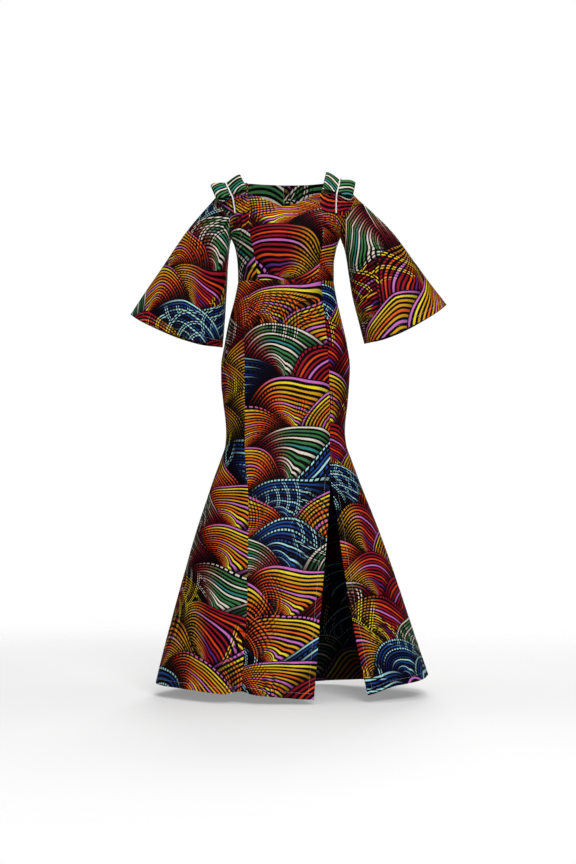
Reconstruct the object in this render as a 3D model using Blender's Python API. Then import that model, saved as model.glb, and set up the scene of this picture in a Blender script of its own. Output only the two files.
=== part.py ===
"""An ankara wax print dress, worn and hollow: an off-shoulder bodice with gathered shoulder
bands, bows and cinch cords, two bell sleeves, and a trumpet skirt with a front slit.

Every piece of cloth is a closed wall. The bodice and skirt panels lie on one body surface,
which is read from a table of sections; the sleeves and shoulder bands start from the armholes
and seams of that surface, so neighbours share each seam and stay one seam gap apart.
X is to the right of someone who faces the dress, the front faces -Y and +Z is up.
"""

import math

import bmesh
import bpy
import numpy as np

MM = 0.001

CLOTH = 1.8 * MM
SEAM_GAP = 0.3 * MM
BOW_CLOTH = 1.4 * MM
CORD_RADIUS = 2.1 * MM

WAIST_Z = -253
BAND_SEAM_Z = -66
ARMPIT_Z = -133
HEM_Z = -1365
CENTRE_BACK_X = -6

# The body's sections. All but "square" are in mm: x of each side, y of front and back.
# "square" is the exponent of the rounded section: 2 is an ellipse and more is squarer.
BODY_COLUMNS = ("z", "left", "right", "front", "back", "square")
BODY_SECTIONS = (
    (30, -184, 184, -50, 77, 2.3),
    (-15, -182, 182, -72, 86, 2.3),
    (-57, -178, 178, -97, 94, 2.3),
    (-90, -168, 168, -114, 98, 2.3),
    (-115, -158, 157, -121, 99, 2.3),
    (-133, -151, 149, -120, 98, 2.3),
    (-150, -143, 142, -115, 96, 2.3),
    (-168, -138, 137, -109, 93, 2.3),
    (-205, -133, 132, -101, 87, 2.3),
    (-245, -132, 132, -97, 82, 2.3),
    (-290, -139, 138, -100, 88, 2.3),
    (-350, -154, 151, -106, 102, 2.25),
    (-420, -168, 167, -111, 120, 2.2),
    (-490, -179, 176, -114, 131, 2.2),
    (-535, -178, 174, -115, 132, 2.2),
    (-580, -173, 170, -115, 130, 2.2),
    (-665, -165, 162, -117, 124, 2.2),
    (-700, -167, 166, -120, 126, 2.15),
    (-740, -179, 180, -129, 136, 2.1),
    (-800, -201, 202, -143, 151, 2.05),
    (-950, -250, 261, -175, 182, 2.0),
    (-1100, -293, 315, -203, 209, 2.0),
    (-1250, -333, 367, -227, 232, 2.0),
    (-1400, -369, 420, -247, 251, 2.0),
)

# Soft bust shape of the princess cut: two mounds on the front.
BUST_X = 72
BUST_Z = -114
BUST_RISE = 8
BUST_SPREAD_X = 44
BUST_SPREAD_Z = 40

# Soft folds of the skirt, as bumps (+) and troughs (-) of the wall at the hem.
# Angles are in degrees round from +X; the front is at 270 and the back at 90.
# Columns: angle, spread, depth, top.
SKIRT_FOLDS = (
    (240.5, 5.5, -14, -980),
    (226, 8, 7, -900),
    (253, 8, 5, -1010),
    (204, 9, -8, -860),
    (338, 9, 7, -880),
    (356, 8, -6, -960),
    (22, 10, 9, -840),
    (43, 8, -11, -900),
    (63, 9, 14, -820),
    (84, 8, -10, -940),
    (106, 9, 12, -860),
    (128, 8, -12, -910),
    (151, 10, 9, -850),
)

# Seams and free edges of the front, as x at each height, in mm.
LINE_COLUMNS = ("z", "x")
BODICE_SEAM_LEFT = (
    (-16, -105),
    (-42, -101),
    (-66, -100),
    (-110, -100),
    (-158, -92),
    (-198, -83),
    (-243, -76),
    (-253, -73),
)
BODICE_SEAM_RIGHT = (
    (-16, 93),
    (-42, 92),
    (-66, 97),
    (-110, 102),
    (-148, 101),
    (-178, 95),
    (-206, 92),
    (-253, 83),
)
SKIRT_SEAM_LEFT = (
    (-253, -95),
    (-364, -109),
    (-405, -114),
    (-514, -112),
    (-695, -112),
    (-860, -101),
    (-1059, -103),
    (-1365, -127),
)
SLIT_TOP_Z = -772
SLIT_EDGE_LEFT = (
    (-253, 95),
    (-430, 112),
    (-514, 118),
    (-708, 120),
    (SLIT_TOP_Z, 120),
    (-860, 116),
    (-1111, 95),
    (-1365, 74),
)
SLIT_EDGE_RIGHT = (
    (-253, 95),
    (-430, 112),
    (-514, 118),
    (-708, 120),
    (SLIT_TOP_Z, 120),
    (-860, 132),
    (-1111, 168),
    (-1295, 202),
    (-1365, 218),
)

# Free edges as height against x (necklines) or against angle (hem).
EDGE_COLUMNS = ("place", "z")
FRONT_NECKLINE = (
    (-110, -16),
    (-74, -25),
    (-49, -35),
    (-22, -47),
    (-6, -55),
    (11, -50),
    (48, -35),
    (70, -22),
    (100, -15),
)
BACK_NECKLINE = ((-110, 25), (-55, 23), (0, 22), (55, 23), (110, 27))
BACK_SEAM_X = 106
BACK_NECK_END_Z = 26
HEM = (
    (0, -1330),
    (45, -1368),
    (90, -1382),
    (135, -1372),
    (180, -1353),
    (215, -1355),
    (233, -1360),
    (240.5, -1353),
    (249, -1359),
    (268, -1367),
    (288, -1372),
    (315, -1366),
    (332, -1343),
    (360, -1330),
)

# The armhole: its lower part lies on the body, from the armpit up to the band's corner.
ARMHOLE_COLUMNS = ("share", "z", "angle")
ARMHOLE_LOWER = (
    (0.0, ARMPIT_Z, 0.0),
    (0.25, -127, 9.2),
    (0.5, -114, 16.3),
    (0.75, -97, 19.4),
    (1.0, -79, 20.0),
)
# Its upper part goes over the shoulder, between the band's two corners.
SHOULDER_COLUMNS = ("share", "x", "y", "z")
ARMHOLE_OVER = (
    (0.17, 170, -50, -62),
    (0.33, 184, -37, -40),
    (0.5, 191, 3, -17),
    (0.67, 184, 40, -40),
    (0.83, 170, 52, -62),
)
# The band's free edge on the neck side, between the front and the back neckline.
NECK_EDGE = (
    (0.25, 107, -38, 4),
    (0.5, 110, -2, 18),
    (0.75, 109, 36, 25),
)
BAND_ROWS_FRONT = 3
BAND_ROWS_TOP = 9
BAND_ROWS_BACK = 4
BAND_COLUMNS = 20
BAND_CROWN = 8
BAND_GATHERS = 6
BAND_GATHER_DEPTH = 1.7
BAND_LIFT_FRONT = 0.2
BAND_LIFT_BACK = 0.3
GATHER_PHASE = -0.2 * math.pi

# The bow's knot on each shoulder, in mm, and the direction of the cinch cord across it.
KNOTS = {-1: (-155.8, -45.3, -7.8), 1: (143.5, -43.8, 0)}
KNOT_UP = {-1: (-0.33, 0.7, 0.75), 1: (0.17, 0.7, 0.75)}
KNOT_HALF = 35
CORD_CLEARANCE = 1.15
CORD_SETTLE = 1.25
# The cord's places on the band, as shares along and across it.
CORD_FRONT = ((0.02, 0.6), (0.05, 0.585), (0.08, 0.57))
CORD_BACK_ACROSS = 0.6
CORD_BACK_START = 0.5
CORD_BACK_END = 0.98
CORD_BACK_POINTS = 17
CORD_STEPS = 40

# The bell sleeves, as the outer and inner end of each ring and its half depth, in mm.
SLEEVE_COLUMNS = ("share", "outer_x", "outer_z", "inner_x", "inner_z", "depth", "mid_y")
SLEEVE_LEFT = (
    (0.0, -203, -19, -155, -134, 60, 0),
    (0.15, -240, -66, -158, -172, 71, 1),
    (0.35, -290, -137, -160, -226, 86, 3),
    (0.6, -348, -223, -164, -301, 104, 4),
    (0.8, -390, -285, -168, -367, 117, 4),
    (1.0, -428, -342, -174, -432, 128, 4),
)
SLEEVE_RIGHT = (
    (0.0, 199, -15, 153, -134, 60, 0),
    (0.15, 239, -56, 163, -165, 71, 1),
    (0.35, 295, -118, 170, -218, 86, 3),
    (0.6, 352, -195, 182, -290, 104, 4),
    (0.8, 398, -258, 198, -354, 116, 4),
    (1.0, 442, -315, 215, -422, 126, 4),
)
SLEEVE_HEM_DIP = 14
SLEEVE_BLEND = 0.34
# Columns: place, spread, depth. Places run round the ring from the armpit over the front.
SLEEVE_FOLDS = (
    (0.11, 0.05, 6),
    (0.22, 0.045, -7),
    (0.33, 0.05, 6),
    (0.42, 0.04, -4),
    (0.6, 0.05, 6),
    (0.7, 0.045, -8),
    (0.81, 0.05, 7),
    (0.91, 0.04, -5),
)
SLEEVE_ROWS = 11
# The direction, per side, in which a sleeve's first ring stands one seam gap off the armhole.
SLEEVE_OFF_X = 0.9
SLEEVE_OFF_Z = -0.43
# Places round the armhole where the sleeve's edge starts to share the band's slope.
SHARED_START = 0.1
SHARED_RISE = 0.12
ARMHOLE_LOW_SHARE = 0.25
SLEEVE_FOLD_GROWTH = 1.6

# The bow's wings, each a strip folded at its tip, from the knot in mm. The halves are half
# heights, and "bulge" is how far the strip's two layers stand from its middle.
# Columns: name, side, x, y, z, root_half, tip_half, bulge.
WINGS = (
    ("bow_outer_left", -1, -41, 2, -5, 33, 31, 6),
    ("bow_inner_left", -1, 41, -6.5, 23, 31, 32, 6),
    ("bow_outer_right", 1, 42, 2, -6.5, 32, 32, 6),
    ("bow_inner_right", 1, -40, -5, 18.5, 31, 36, 6),
)
WING_ROOT_OUT = 0.3
WING_ROOT_GAP = 3.4
WING_STEPS = 14
WING_ROWS = 4

SKIRT_ROWS = (
    -253, -288, -335, -388, -445, -505, -565, -625, -672, -708, -742,
    -778, -822, -880, -950, -1025, -1100, -1175, -1245, -1310, -1365,
)
CENTRE_FRONT_COLUMNS = 12
SIDE_FRONT_COLUMNS = 7
BACK_NECK_COLUMNS = 7
BACK_BAND_COLUMNS = 5
BODICE_ROWS_LOW = 7
BODICE_ROWS_ARMHOLE = 6
SKIRT_FRONT_COLUMNS = 10
SKIRT_SIDE_COLUMNS = 8
SKIRT_BACK_COLUMNS = 13

# The small steps, in degrees or shares, over which a surface's slope is measured, and how far
# inside its edges a band's or a sleeve's slope is taken.
BODY_STEP = 0.05
SHARE_STEP = 0.001
BAND_STEP = 0.002
EDGE_INSET = 0.004
SECTION_SAMPLES = 241
SHARP_ANGLE = math.radians(50)

PRINT_GOLD = (0.42, 0.26, 0.06)
PRINT_CRIMSON = (0.3, 0.05, 0.05)
PRINT_GREEN = (0.16, 0.24, 0.12)
PRINT_NAVY = (0.08, 0.09, 0.22)
CORD_WHITE = (0.85, 0.84, 0.8)


def curve_through(places, values):
    """A smooth function of place through the given values, with no overshoot between them."""
    order = np.argsort(places)
    place = np.asarray(places, float)[order]
    value = np.asarray(values, float)[order]
    step = np.diff(place)
    slope = np.diff(value) / step
    tangent = np.zeros(len(place))
    turns = slope[:-1] * slope[1:] <= 0
    mean = 2 * slope[:-1] * slope[1:] / np.where(turns, 1, slope[:-1] + slope[1:])
    tangent[1:-1] = np.where(turns, 0, mean)
    tangent[0], tangent[-1] = slope[0], slope[-1]

    def at(where):
        where = np.clip(where, place[0], place[-1])
        i = np.clip(np.searchsorted(place, where) - 1, 0, len(step) - 1)
        t = (where - place[i]) / step[i]
        rise = value[i + 1] - value[i]
        start = tangent[i] * step[i]
        end = tangent[i + 1] * step[i]
        cubic = (start + end - 2 * rise) * t + (3 * rise - 2 * start - end)
        return value[i] + start * t + cubic * t * t

    return at


def profiles(rows, columns):
    """One smooth function for each later column of a table, against its first column."""
    table = list(zip(*rows, strict=True))
    return {name: curve_through(table[0], col) for name, col in zip(columns[1:], table[1:], strict=True)}


def ease(share):
    """Rises softly from 0 to 1 as share does."""
    share = np.clip(share, 0, 1)
    return share * share * (3 - 2 * share)


BODY = profiles(BODY_SECTIONS, BODY_COLUMNS)
HEM_HEIGHT = profiles(HEM, EDGE_COLUMNS)["z"]
NECK_HEIGHT = profiles(FRONT_NECKLINE, EDGE_COLUMNS)["z"]
BACK_NECK_HEIGHT = profiles(BACK_NECKLINE, EDGE_COLUMNS)["z"]
LOWER_ARMHOLE = profiles(ARMHOLE_LOWER, ARMHOLE_COLUMNS)


def skirt_fold(degrees, z):
    """How far the wall moves out in the skirt's soft folds."""
    out = 0
    for angle, spread, depth, top in SKIRT_FOLDS:
        away = (degrees - angle + 180) % 360 - 180
        grown = ease((top - z) / (top - HEM_Z))
        out = out + depth * grown * np.exp(-((away / spread) ** 2))
    return out


def body_surface(degrees, z):
    """The outer face of the body in mm, at an angle round from +X and a height."""
    angle = np.radians(degrees)
    cos, sin = np.cos(angle), np.sin(angle)
    half_width = np.where(cos < 0, -BODY["left"](z), BODY["right"](z))
    half_depth = np.where(sin < 0, -BODY["front"](z), BODY["back"](z))
    power = BODY["square"](z)
    total = (np.abs(cos) / half_width) ** power + (np.abs(sin) / half_depth) ** power
    reach = total ** (-1 / power) + skirt_fold(degrees, z)
    x, y = reach * cos, reach * sin
    rise = np.exp(-(((np.abs(x) - BUST_X) / BUST_SPREAD_X) ** 2))
    rise = rise * np.exp(-(((z - BUST_Z) / BUST_SPREAD_Z) ** 2))
    y = y - BUST_RISE * rise * np.clip(-sin, 0, 1)
    return np.stack([x, y, z + 0 * x], -1)


def unit(vectors):
    return vectors / np.linalg.norm(vectors, axis=-1, keepdims=True)


def surface_normal(surface, first, second, step):
    """Unit normals of surface(first, second), towards first x second."""
    along = surface(first + step, second) - surface(first - step, second)
    across = surface(first, second + step) - surface(first, second - step)
    return unit(np.cross(along, across))


def body_normal(degrees, z):
    return surface_normal(body_surface, degrees, z, BODY_STEP)


def angle_at(x, z, back=False):
    """The angle of the body's point that has this x, on its front or its back."""
    half_width = np.where(x < 0, -BODY["left"](z), BODY["right"](z))
    half_depth = BODY["back"](z) if back else BODY["front"](z)
    power = BODY["square"](z)
    y = half_depth * (1 - (np.abs(x) / half_width) ** power) ** (1 / power)
    return np.degrees(np.arctan2(y, x)) % 360


def spaced_angles(start, end, z, columns):
    """Angles at even distances along the body's section, half a seam gap inside both ends."""
    dense = np.linspace(start, end, SECTION_SAMPLES)
    points = body_surface(dense, np.full_like(dense, z))
    run = np.concatenate([[0], np.cumsum(np.linalg.norm(np.diff(points, axis=0), axis=1))])
    inset = SEAM_GAP / MM / 2
    return np.interp(np.linspace(inset, run[-1] - inset, columns + 1), run, dense)


def build_object(name, verts, faces, colour, roughness=0.55):
    mesh = bpy.data.meshes.new(name)
    mesh.from_pydata([tuple(v) for v in verts], [], faces)
    mesh.validate()
    work = bmesh.new()
    work.from_mesh(mesh)
    bmesh.ops.triangulate(work, faces=work.faces[:])
    bmesh.ops.recalc_face_normals(work, faces=work.faces[:])
    work.to_mesh(mesh)
    work.free()
    mesh.shade_smooth()
    mesh.set_sharp_from_angle(angle=SHARP_ANGLE)
    mesh.materials.append(finish(name, colour, roughness))
    piece = bpy.data.objects.new(name, mesh)
    bpy.context.scene.collection.objects.link(piece)
    return piece


def finish(name, colour, roughness):
    material = bpy.data.materials.new(name + "_finish")
    material.use_nodes = True
    shader = material.node_tree.nodes["Principled BSDF"]
    shader.inputs["Base Color"].default_value = (*colour, 1)
    shader.inputs["Roughness"].default_value = roughness
    shader.inputs["Metallic"].default_value = 0
    material.diffuse_color = (*colour, 1)
    return material


def wall(name, outer, normals, colour, thickness=CLOTH):
    """A closed cloth wall from a grid of outer points in mm and their outward normals."""
    rows, columns = outer.shape[:2]
    inner = outer - normals * (thickness / MM)
    verts = np.concatenate([outer.reshape(-1, 3), inner.reshape(-1, 3)]) * MM
    behind = rows * columns

    def at(i, j):
        return i * columns + j

    faces = []
    for i in range(rows - 1):
        for j in range(columns - 1):
            quad = (at(i, j), at(i, j + 1), at(i + 1, j + 1), at(i + 1, j))
            faces.append(quad)
            faces.append(tuple(behind + k for k in reversed(quad)))
    rim = [(at(i, j), at(i, j + 1)) for i in (0, rows - 1) for j in range(columns - 1)]
    rim += [(at(i, j), at(i + 1, j)) for i in range(rows - 1) for j in (0, columns - 1)]
    faces += [(a, b, behind + b, behind + a) for a, b in rim]
    return build_object(name, verts, faces, colour)


def body_panel(name, degrees, z, colour, level_rows=()):
    """A wall of the body. On level rows the inner edge keeps the outer edge's height."""
    normals = body_normal(degrees, z)
    for row in level_rows:
        normals[row, :, 2] = 0
    return wall(name, body_surface(degrees, z), unit(normals), colour)


def skirt_panel(name, start_line, end_line, columns, colour):
    """A skirt panel between two lines, each a function from height to angle."""
    rows = np.array(SKIRT_ROWS, float)
    degrees = np.array([spaced_angles(start_line(z), end_line(z), z, columns) for z in rows])
    share = (WAIST_Z - rows) / (WAIST_Z - HEM_Z)
    to_hem = HEM_HEIGHT(degrees % 360) - HEM_Z
    z = rows[:, None] + to_hem * share[:, None] ** 4
    z[0] -= SEAM_GAP / MM / 2
    return body_panel(name, degrees, z, colour, level_rows=[0])


def line_angle(rows, back=False):
    """Turns a table of x against height into a function from height to angle."""
    x_at = profiles(rows, LINE_COLUMNS)["x"]
    return lambda z: angle_at(x_at(z), z, back)


def steady(degrees):
    return lambda z: degrees


def centre_back(z):
    return angle_at(np.float64(CENTRE_BACK_X), z, back=True)


def make_skirt():
    seam_left = line_angle(SKIRT_SEAM_LEFT)
    slit_left = line_angle(SLIT_EDGE_LEFT)
    slit_right = line_angle(SLIT_EDGE_RIGHT)
    skirt_panel("skirt_centre_front", seam_left, slit_left, SKIRT_FRONT_COLUMNS, PRINT_GOLD)
    skirt_panel("skirt_side_front_left", steady(180), seam_left, SKIRT_SIDE_COLUMNS, PRINT_CRIMSON)
    skirt_panel("skirt_side_front_right", slit_right, steady(360), SKIRT_SIDE_COLUMNS, PRINT_CRIMSON)
    skirt_panel("skirt_back_left", centre_back, steady(180), SKIRT_BACK_COLUMNS, PRINT_NAVY)
    skirt_panel("skirt_back_right", steady(0), centre_back, SKIRT_BACK_COLUMNS, PRINT_NAVY)


def lower_armhole(share, side, back):
    """Angle and height on the body, from the armpit (0) up to the band's corner (1)."""
    away = LOWER_ARMHOLE["angle"](share) * (-1 if back else 1)
    degrees = 180 + away if side < 0 else 360 - away
    return degrees, LOWER_ARMHOLE["z"](share)


def bodice_heights():
    """Heights of the bodice's rows at a princess seam, from the waist to the band's seam."""
    low = np.linspace(WAIST_Z, ARMPIT_Z, BODICE_ROWS_LOW + 1)
    shares = np.linspace(0, 1, BODICE_ROWS_ARMHOLE + 1)[1:]
    high = ARMPIT_Z + (BAND_SEAM_Z - ARMPIT_Z) * shares
    return np.concatenate([low, high])


def armhole_shares():
    return np.linspace(0, 1, BODICE_ROWS_ARMHOLE + 1)[1:]


def bodice_grid(inner_line, side, back, columns):
    """Angles and heights of the part of a bodice panel below the band, inner edge first."""
    degrees, heights = [], []
    side_angle = 180.0 if side < 0 else (0.0 if back else 360.0)
    for row, z in enumerate(bodice_heights()):
        outer, outer_z = side_angle, z
        if row > BODICE_ROWS_LOW:
            share = armhole_shares()[row - BODICE_ROWS_LOW - 1]
            outer, outer_z = lower_armhole(share, side, back)
            outer = outer - 360 if back and side > 0 else outer
        inner = inner_line(z)
        row = spaced_angles(inner, outer, (z + outer_z) / 2, columns)
        degrees.append(row)
        heights.append(z + (outer_z - z) * (row - inner) / (outer - inner))
    heights[0] = heights[0] + SEAM_GAP / MM / 2
    heights[-1] = heights[-1] - SEAM_GAP / MM / 2
    return np.array(degrees), np.array(heights)


def make_bodice_front():
    lines = {-1: line_angle(BODICE_SEAM_LEFT), 1: line_angle(BODICE_SEAM_RIGHT)}
    for side, name in ((-1, "left"), (1, "right")):
        degrees, z = bodice_grid(lines[side], side, False, SIDE_FRONT_COLUMNS)
        body_panel("bodice_side_front_" + name, degrees, z, PRINT_CRIMSON, level_rows=[0])
    columns = CENTRE_FRONT_COLUMNS
    heights = list(bodice_heights())
    degrees = [spaced_angles(lines[-1](z), lines[1](z), z, columns) for z in heights]
    z = [np.full(columns + 1, h) for h in heights]
    z[0] = z[0] + SEAM_GAP / MM / 2
    for step in range(1, BAND_ROWS_FRONT + 1):
        share = step / BAND_ROWS_FRONT
        edge = BAND_SEAM_Z + (neck_end_z() - BAND_SEAM_Z) * share
        row = spaced_angles(lines[-1](edge), lines[1](edge), edge, columns)
        x = body_surface(row, np.full_like(row, edge))[:, 0]
        neck = NECK_HEIGHT(x)
        neck += neck_end_z() - np.linspace(neck[0], neck[-1], columns + 1)
        degrees.append(row)
        z.append(BAND_SEAM_Z + (neck - BAND_SEAM_Z) * share)
    body_panel("bodice_centre_front", np.array(degrees), np.array(z), PRINT_GOLD, level_rows=[0])


def neck_end_z():
    return BODICE_SEAM_LEFT[0][0]


def back_seam(side):
    """The line where the shoulder band meets the back, as a function from height to angle."""
    return lambda z: angle_at(np.float64(side * BACK_SEAM_X), z, back=True)


def make_bodice_back():
    for side, name in ((-1, "left"), (1, "right")):
        degrees, z = [], []
        inner = bodice_grid(back_seam(side), side, True, BACK_BAND_COLUMNS)
        split = BACK_NECK_COLUMNS
        for row, height in enumerate(bodice_heights()):
            centre = spaced_angles(centre_back(height), back_seam(side)(height), height, split)
            degrees.append(np.concatenate([centre, inner[0][row][1:]]))
            z.append(np.concatenate([np.full(split, height), inner[1][row]]))
        degrees, z = np.array(degrees), np.array(z)
        z[0] = WAIST_Z + SEAM_GAP / MM / 2
        upper_degrees, upper_z = [], []
        for step in range(1, BAND_ROWS_BACK + 1):
            share = step / BAND_ROWS_BACK
            edge = BAND_SEAM_Z + (BACK_NECK_END_Z - BAND_SEAM_Z) * share
            row = spaced_angles(centre_back(edge), back_seam(side)(edge), edge, split)
            x = body_surface(row, np.full_like(row, edge))[:, 0]
            neck = BACK_NECK_HEIGHT(x)
            neck += (BACK_NECK_END_Z - neck[-1]) * np.linspace(0, 1, split + 1)
            upper_degrees.append(row)
            upper_z.append(BAND_SEAM_Z + (neck - BAND_SEAM_Z) * share)
        yoke_wall("bodice_back_" + name, (degrees, z), (upper_degrees, upper_z), split)


def yoke_wall(name, lower, upper, split):
    """A back panel: a full grid below the band's seam and a narrower one above it."""
    degrees, z = lower
    width = degrees.shape[1]
    outer = body_surface(degrees, z).reshape(-1, 3)
    normals = body_normal(degrees, z)
    normals[0, :, 2] = 0
    normals = unit(normals).reshape(-1, 3)
    top_degrees, top_z = np.array(upper[0]), np.array(upper[1])
    outer = np.concatenate([outer, body_surface(top_degrees, top_z).reshape(-1, 3)])
    normals = np.concatenate([normals, body_normal(top_degrees, top_z).reshape(-1, 3)])
    rows, narrow = degrees.shape[0], split + 1

    def low(i, j):
        return i * width + j

    def high(i, j):
        return low(rows - 1, j) if i == 0 else rows * width + (i - 1) * narrow + j

    quads = [(low(i, j), low(i, j + 1), low(i + 1, j + 1), low(i + 1, j))
             for i in range(rows - 1) for j in range(width - 1)]
    tall = len(top_degrees)
    quads += [(high(i, j), high(i, j + 1), high(i + 1, j + 1), high(i + 1, j))
              for i in range(tall) for j in range(split)]
    border = [low(0, j) for j in range(width)]
    border += [low(i, width - 1) for i in range(1, rows)]
    border += [low(rows - 1, j) for j in range(width - 2, split - 1, -1)]
    border += [high(i, split) for i in range(1, tall + 1)]
    border += [high(tall, j) for j in range(split - 1, -1, -1)]
    border += [high(i, 0) for i in range(tall - 1, 0, -1)]
    border += [low(i, 0) for i in range(rows - 1, 0, -1)]
    inner = outer - normals * (CLOTH / MM)
    behind = len(outer)
    faces = quads + [tuple(behind + k for k in reversed(quad)) for quad in quads]
    loop = zip(border, border[1:] + border[:1], strict=True)
    faces += [(b, a, behind + a, behind + b) for a, b in loop]
    build_object(name, np.concatenate([outer, inner]) * MM, faces, PRINT_GREEN)


def side_name(side):
    return "left" if side < 0 else "right"


def seam_shift(angle, z):
    """Degrees that stand for half a seam gap on the body."""
    reach = np.linalg.norm(body_surface(angle, z)[..., :2], axis=-1)
    return np.degrees(SEAM_GAP / MM / 2 / reach)


def band_rows():
    """Shares along the band at its rows, from its front seam to its back seam."""
    return np.linspace(0, 1, BAND_ROWS_FRONT + BAND_ROWS_TOP + BAND_ROWS_BACK + 1)


def band_corner(side, back):
    degrees, z = lower_armhole(np.float64(1), side, back)
    return body_surface(degrees, z)


def over_armhole(share, side):
    """The armhole's upper part, from the band's front corner (0) to its back corner (1)."""
    front, back = band_corner(side, False), band_corner(side, True)
    rows = [(0, *front)] + [(s, side * x, y, z) for s, x, y, z in ARMHOLE_OVER] + [(1, *back)]
    line = profiles(rows, SHOULDER_COLUMNS)
    return np.stack([line[axis](share) for axis in "xyz"], -1)


def princess_line(side):
    return line_angle(BODICE_SEAM_LEFT if side < 0 else BODICE_SEAM_RIGHT)


def band_neck_side(share, side):
    """The band's edge beside the front seam, the neck opening and the back seam."""
    total = BAND_ROWS_FRONT + BAND_ROWS_TOP + BAND_ROWS_BACK
    front_end, back_start = BAND_ROWS_FRONT / total, 1 - BAND_ROWS_BACK / total
    front_z = BAND_SEAM_Z + (neck_end_z() - BAND_SEAM_Z) * np.clip(share / front_end, 0, 1)
    front_angle = princess_line(side)(front_z)
    front = body_surface(front_angle + side * seam_shift(front_angle, front_z), front_z)
    back_share = np.clip((1 - share) / (1 - back_start), 0, 1)
    back_z = BAND_SEAM_Z + (BACK_NECK_END_Z - BAND_SEAM_Z) * back_share
    back_angle = back_seam(side)(back_z)
    back = body_surface(back_angle - side * seam_shift(back_angle, back_z), back_z)
    rows = [(0, *neck_corner(side, False))]
    rows += [(s, side * x, y, z) for s, x, y, z in NECK_EDGE]
    rows += [(1, *neck_corner(side, True))]
    line = profiles(rows, SHOULDER_COLUMNS)
    free_share = np.clip((share - front_end) / (back_start - front_end), 0, 1)
    free = np.stack([line[axis](free_share) for axis in "xyz"], -1)
    share = np.asarray(share)[..., None]
    return np.where(share <= front_end, front, np.where(share >= back_start, back, free))


def neck_corner(side, back):
    """Where the band's free edge starts and ends."""
    line = back_seam(side) if back else princess_line(side)
    z = np.float64(BACK_NECK_END_Z if back else neck_end_z())
    angle = line(z)
    return body_surface(angle + (-side if back else side) * seam_shift(angle, z), z)


def band_seam(share, side, back):
    """The band's edge above a side front (or a back), from the neck side to the sleeve side."""
    inner_line = back_seam(side) if back else princess_line(side)
    start = inner_line(np.float64(BAND_SEAM_Z))
    start = start + (-side if back else side) * seam_shift(start, np.float64(BAND_SEAM_Z))
    end, end_z = lower_armhole(np.float64(1), side, back)
    if back and side > 0:
        end = end - 360
    return body_surface(start + (end - start) * share, BAND_SEAM_Z + (end_z - BAND_SEAM_Z) * share)


def band_base(along, across, side):
    """The band's smooth form between its four edges, before crown and gathers."""
    neck, sleeve = band_neck_side(along, side), over_armhole(along, side)
    front, back = band_seam(across, side, False), band_seam(across, side, True)
    s, t = np.asarray(along)[..., None], np.asarray(across)[..., None]
    corners = (1 - s) * ((1 - t) * band_seam(0.0, side, False) + t * band_corner(side, False))
    corners = corners + s * ((1 - t) * band_seam(0.0, side, True) + t * band_corner(side, True))
    return (1 - t) * neck + t * sleeve + (1 - s) * front + s * back - corners


def band_surface(along, across, side):
    """The shoulder band's outer face, crowned and gathered under the cinch cord."""
    inside = np.clip(along, 0, 1)
    normal = surface_normal(lambda s, t: band_base(s, t, side), inside, across, SHARE_STEP) * -side
    crown = BAND_CROWN * 4 * across * (1 - across) * np.sin(math.pi * inside) ** 2
    gather = np.cos(2 * math.pi * BAND_GATHERS * across + GATHER_PHASE)
    held = np.sin(math.pi * np.clip(across, 0, 1)) ** 0.5 * np.sin(math.pi * inside)
    out = crown + BAND_GATHER_DEPTH * gather * held
    return band_base(along, across, side) + normal * out[..., None]


def band_normal(along, across, side):
    """The band's normals, which are the body's own along its seams with the body."""
    inside = np.clip(along, EDGE_INSET, 1 - EDGE_INSET)
    within = np.clip(across, EDGE_INSET, 1 - EDGE_INSET)
    return surface_normal(lambda s, t: band_surface(s, t, side), inside, within, BAND_STEP) * -side


def body_normal_near(points):
    """The body's normals at points that lie on it."""
    degrees = np.degrees(np.arctan2(points[..., 1], points[..., 0])) % 360
    return body_normal(degrees, points[..., 2])


def make_bands():
    for side in (-1, 1):
        along, across = np.meshgrid(
            band_rows(), np.linspace(0, 1, BAND_COLUMNS + 1), indexing="ij"
        )
        outer = band_surface(along, across, side)
        normals = band_normal(along, across, side)
        for row, lift in ((0, BAND_LIFT_FRONT), (-1, BAND_LIFT_BACK)):
            outer[row, :, 2] += lift
            normals[row] = body_normal_near(outer[row])
        for row in list(range(BAND_ROWS_FRONT + 1)) + list(range(-BAND_ROWS_BACK - 1, 0)):
            normals[row, 0] = body_normal_near(outer[row, 0])
        wall("shoulder_band_" + side_name(side), outer, normals, PRINT_GOLD)


def sleeve_places():
    """Places round the armhole at the sleeve's columns: 0 at the armpit, 0.5 on top."""
    low = np.linspace(0, ARMHOLE_LOW_SHARE, BODICE_ROWS_ARMHOLE + 1)
    over = ARMHOLE_LOW_SHARE + (1 - 2 * ARMHOLE_LOW_SHARE) * band_rows()
    return np.concatenate([low[:-1], over, 1 - low[1:-1][::-1]])


def band_share(place):
    """Share along the band's sleeve edge at a place round the armhole."""
    return np.clip((place - ARMHOLE_LOW_SHARE) / (1 - 2 * ARMHOLE_LOW_SHARE), 0, 1)


def armhole(place, side):
    """The whole armhole: up the front from the armpit (0), over the top (0.5), down the back."""
    low = ARMHOLE_LOW_SHARE
    front = np.clip(place / low, 0, 1)
    back = np.clip((1 - place) / low, 0, 1)
    low_front = body_surface(*lower_armhole(front, side, False))
    low_back = body_surface(*lower_armhole(back, side, True))
    over = over_armhole(band_share(place), side)
    place = np.asarray(place)[..., None]
    return np.where(place < low, low_front, np.where(place > 1 - low, low_back, over))


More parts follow.
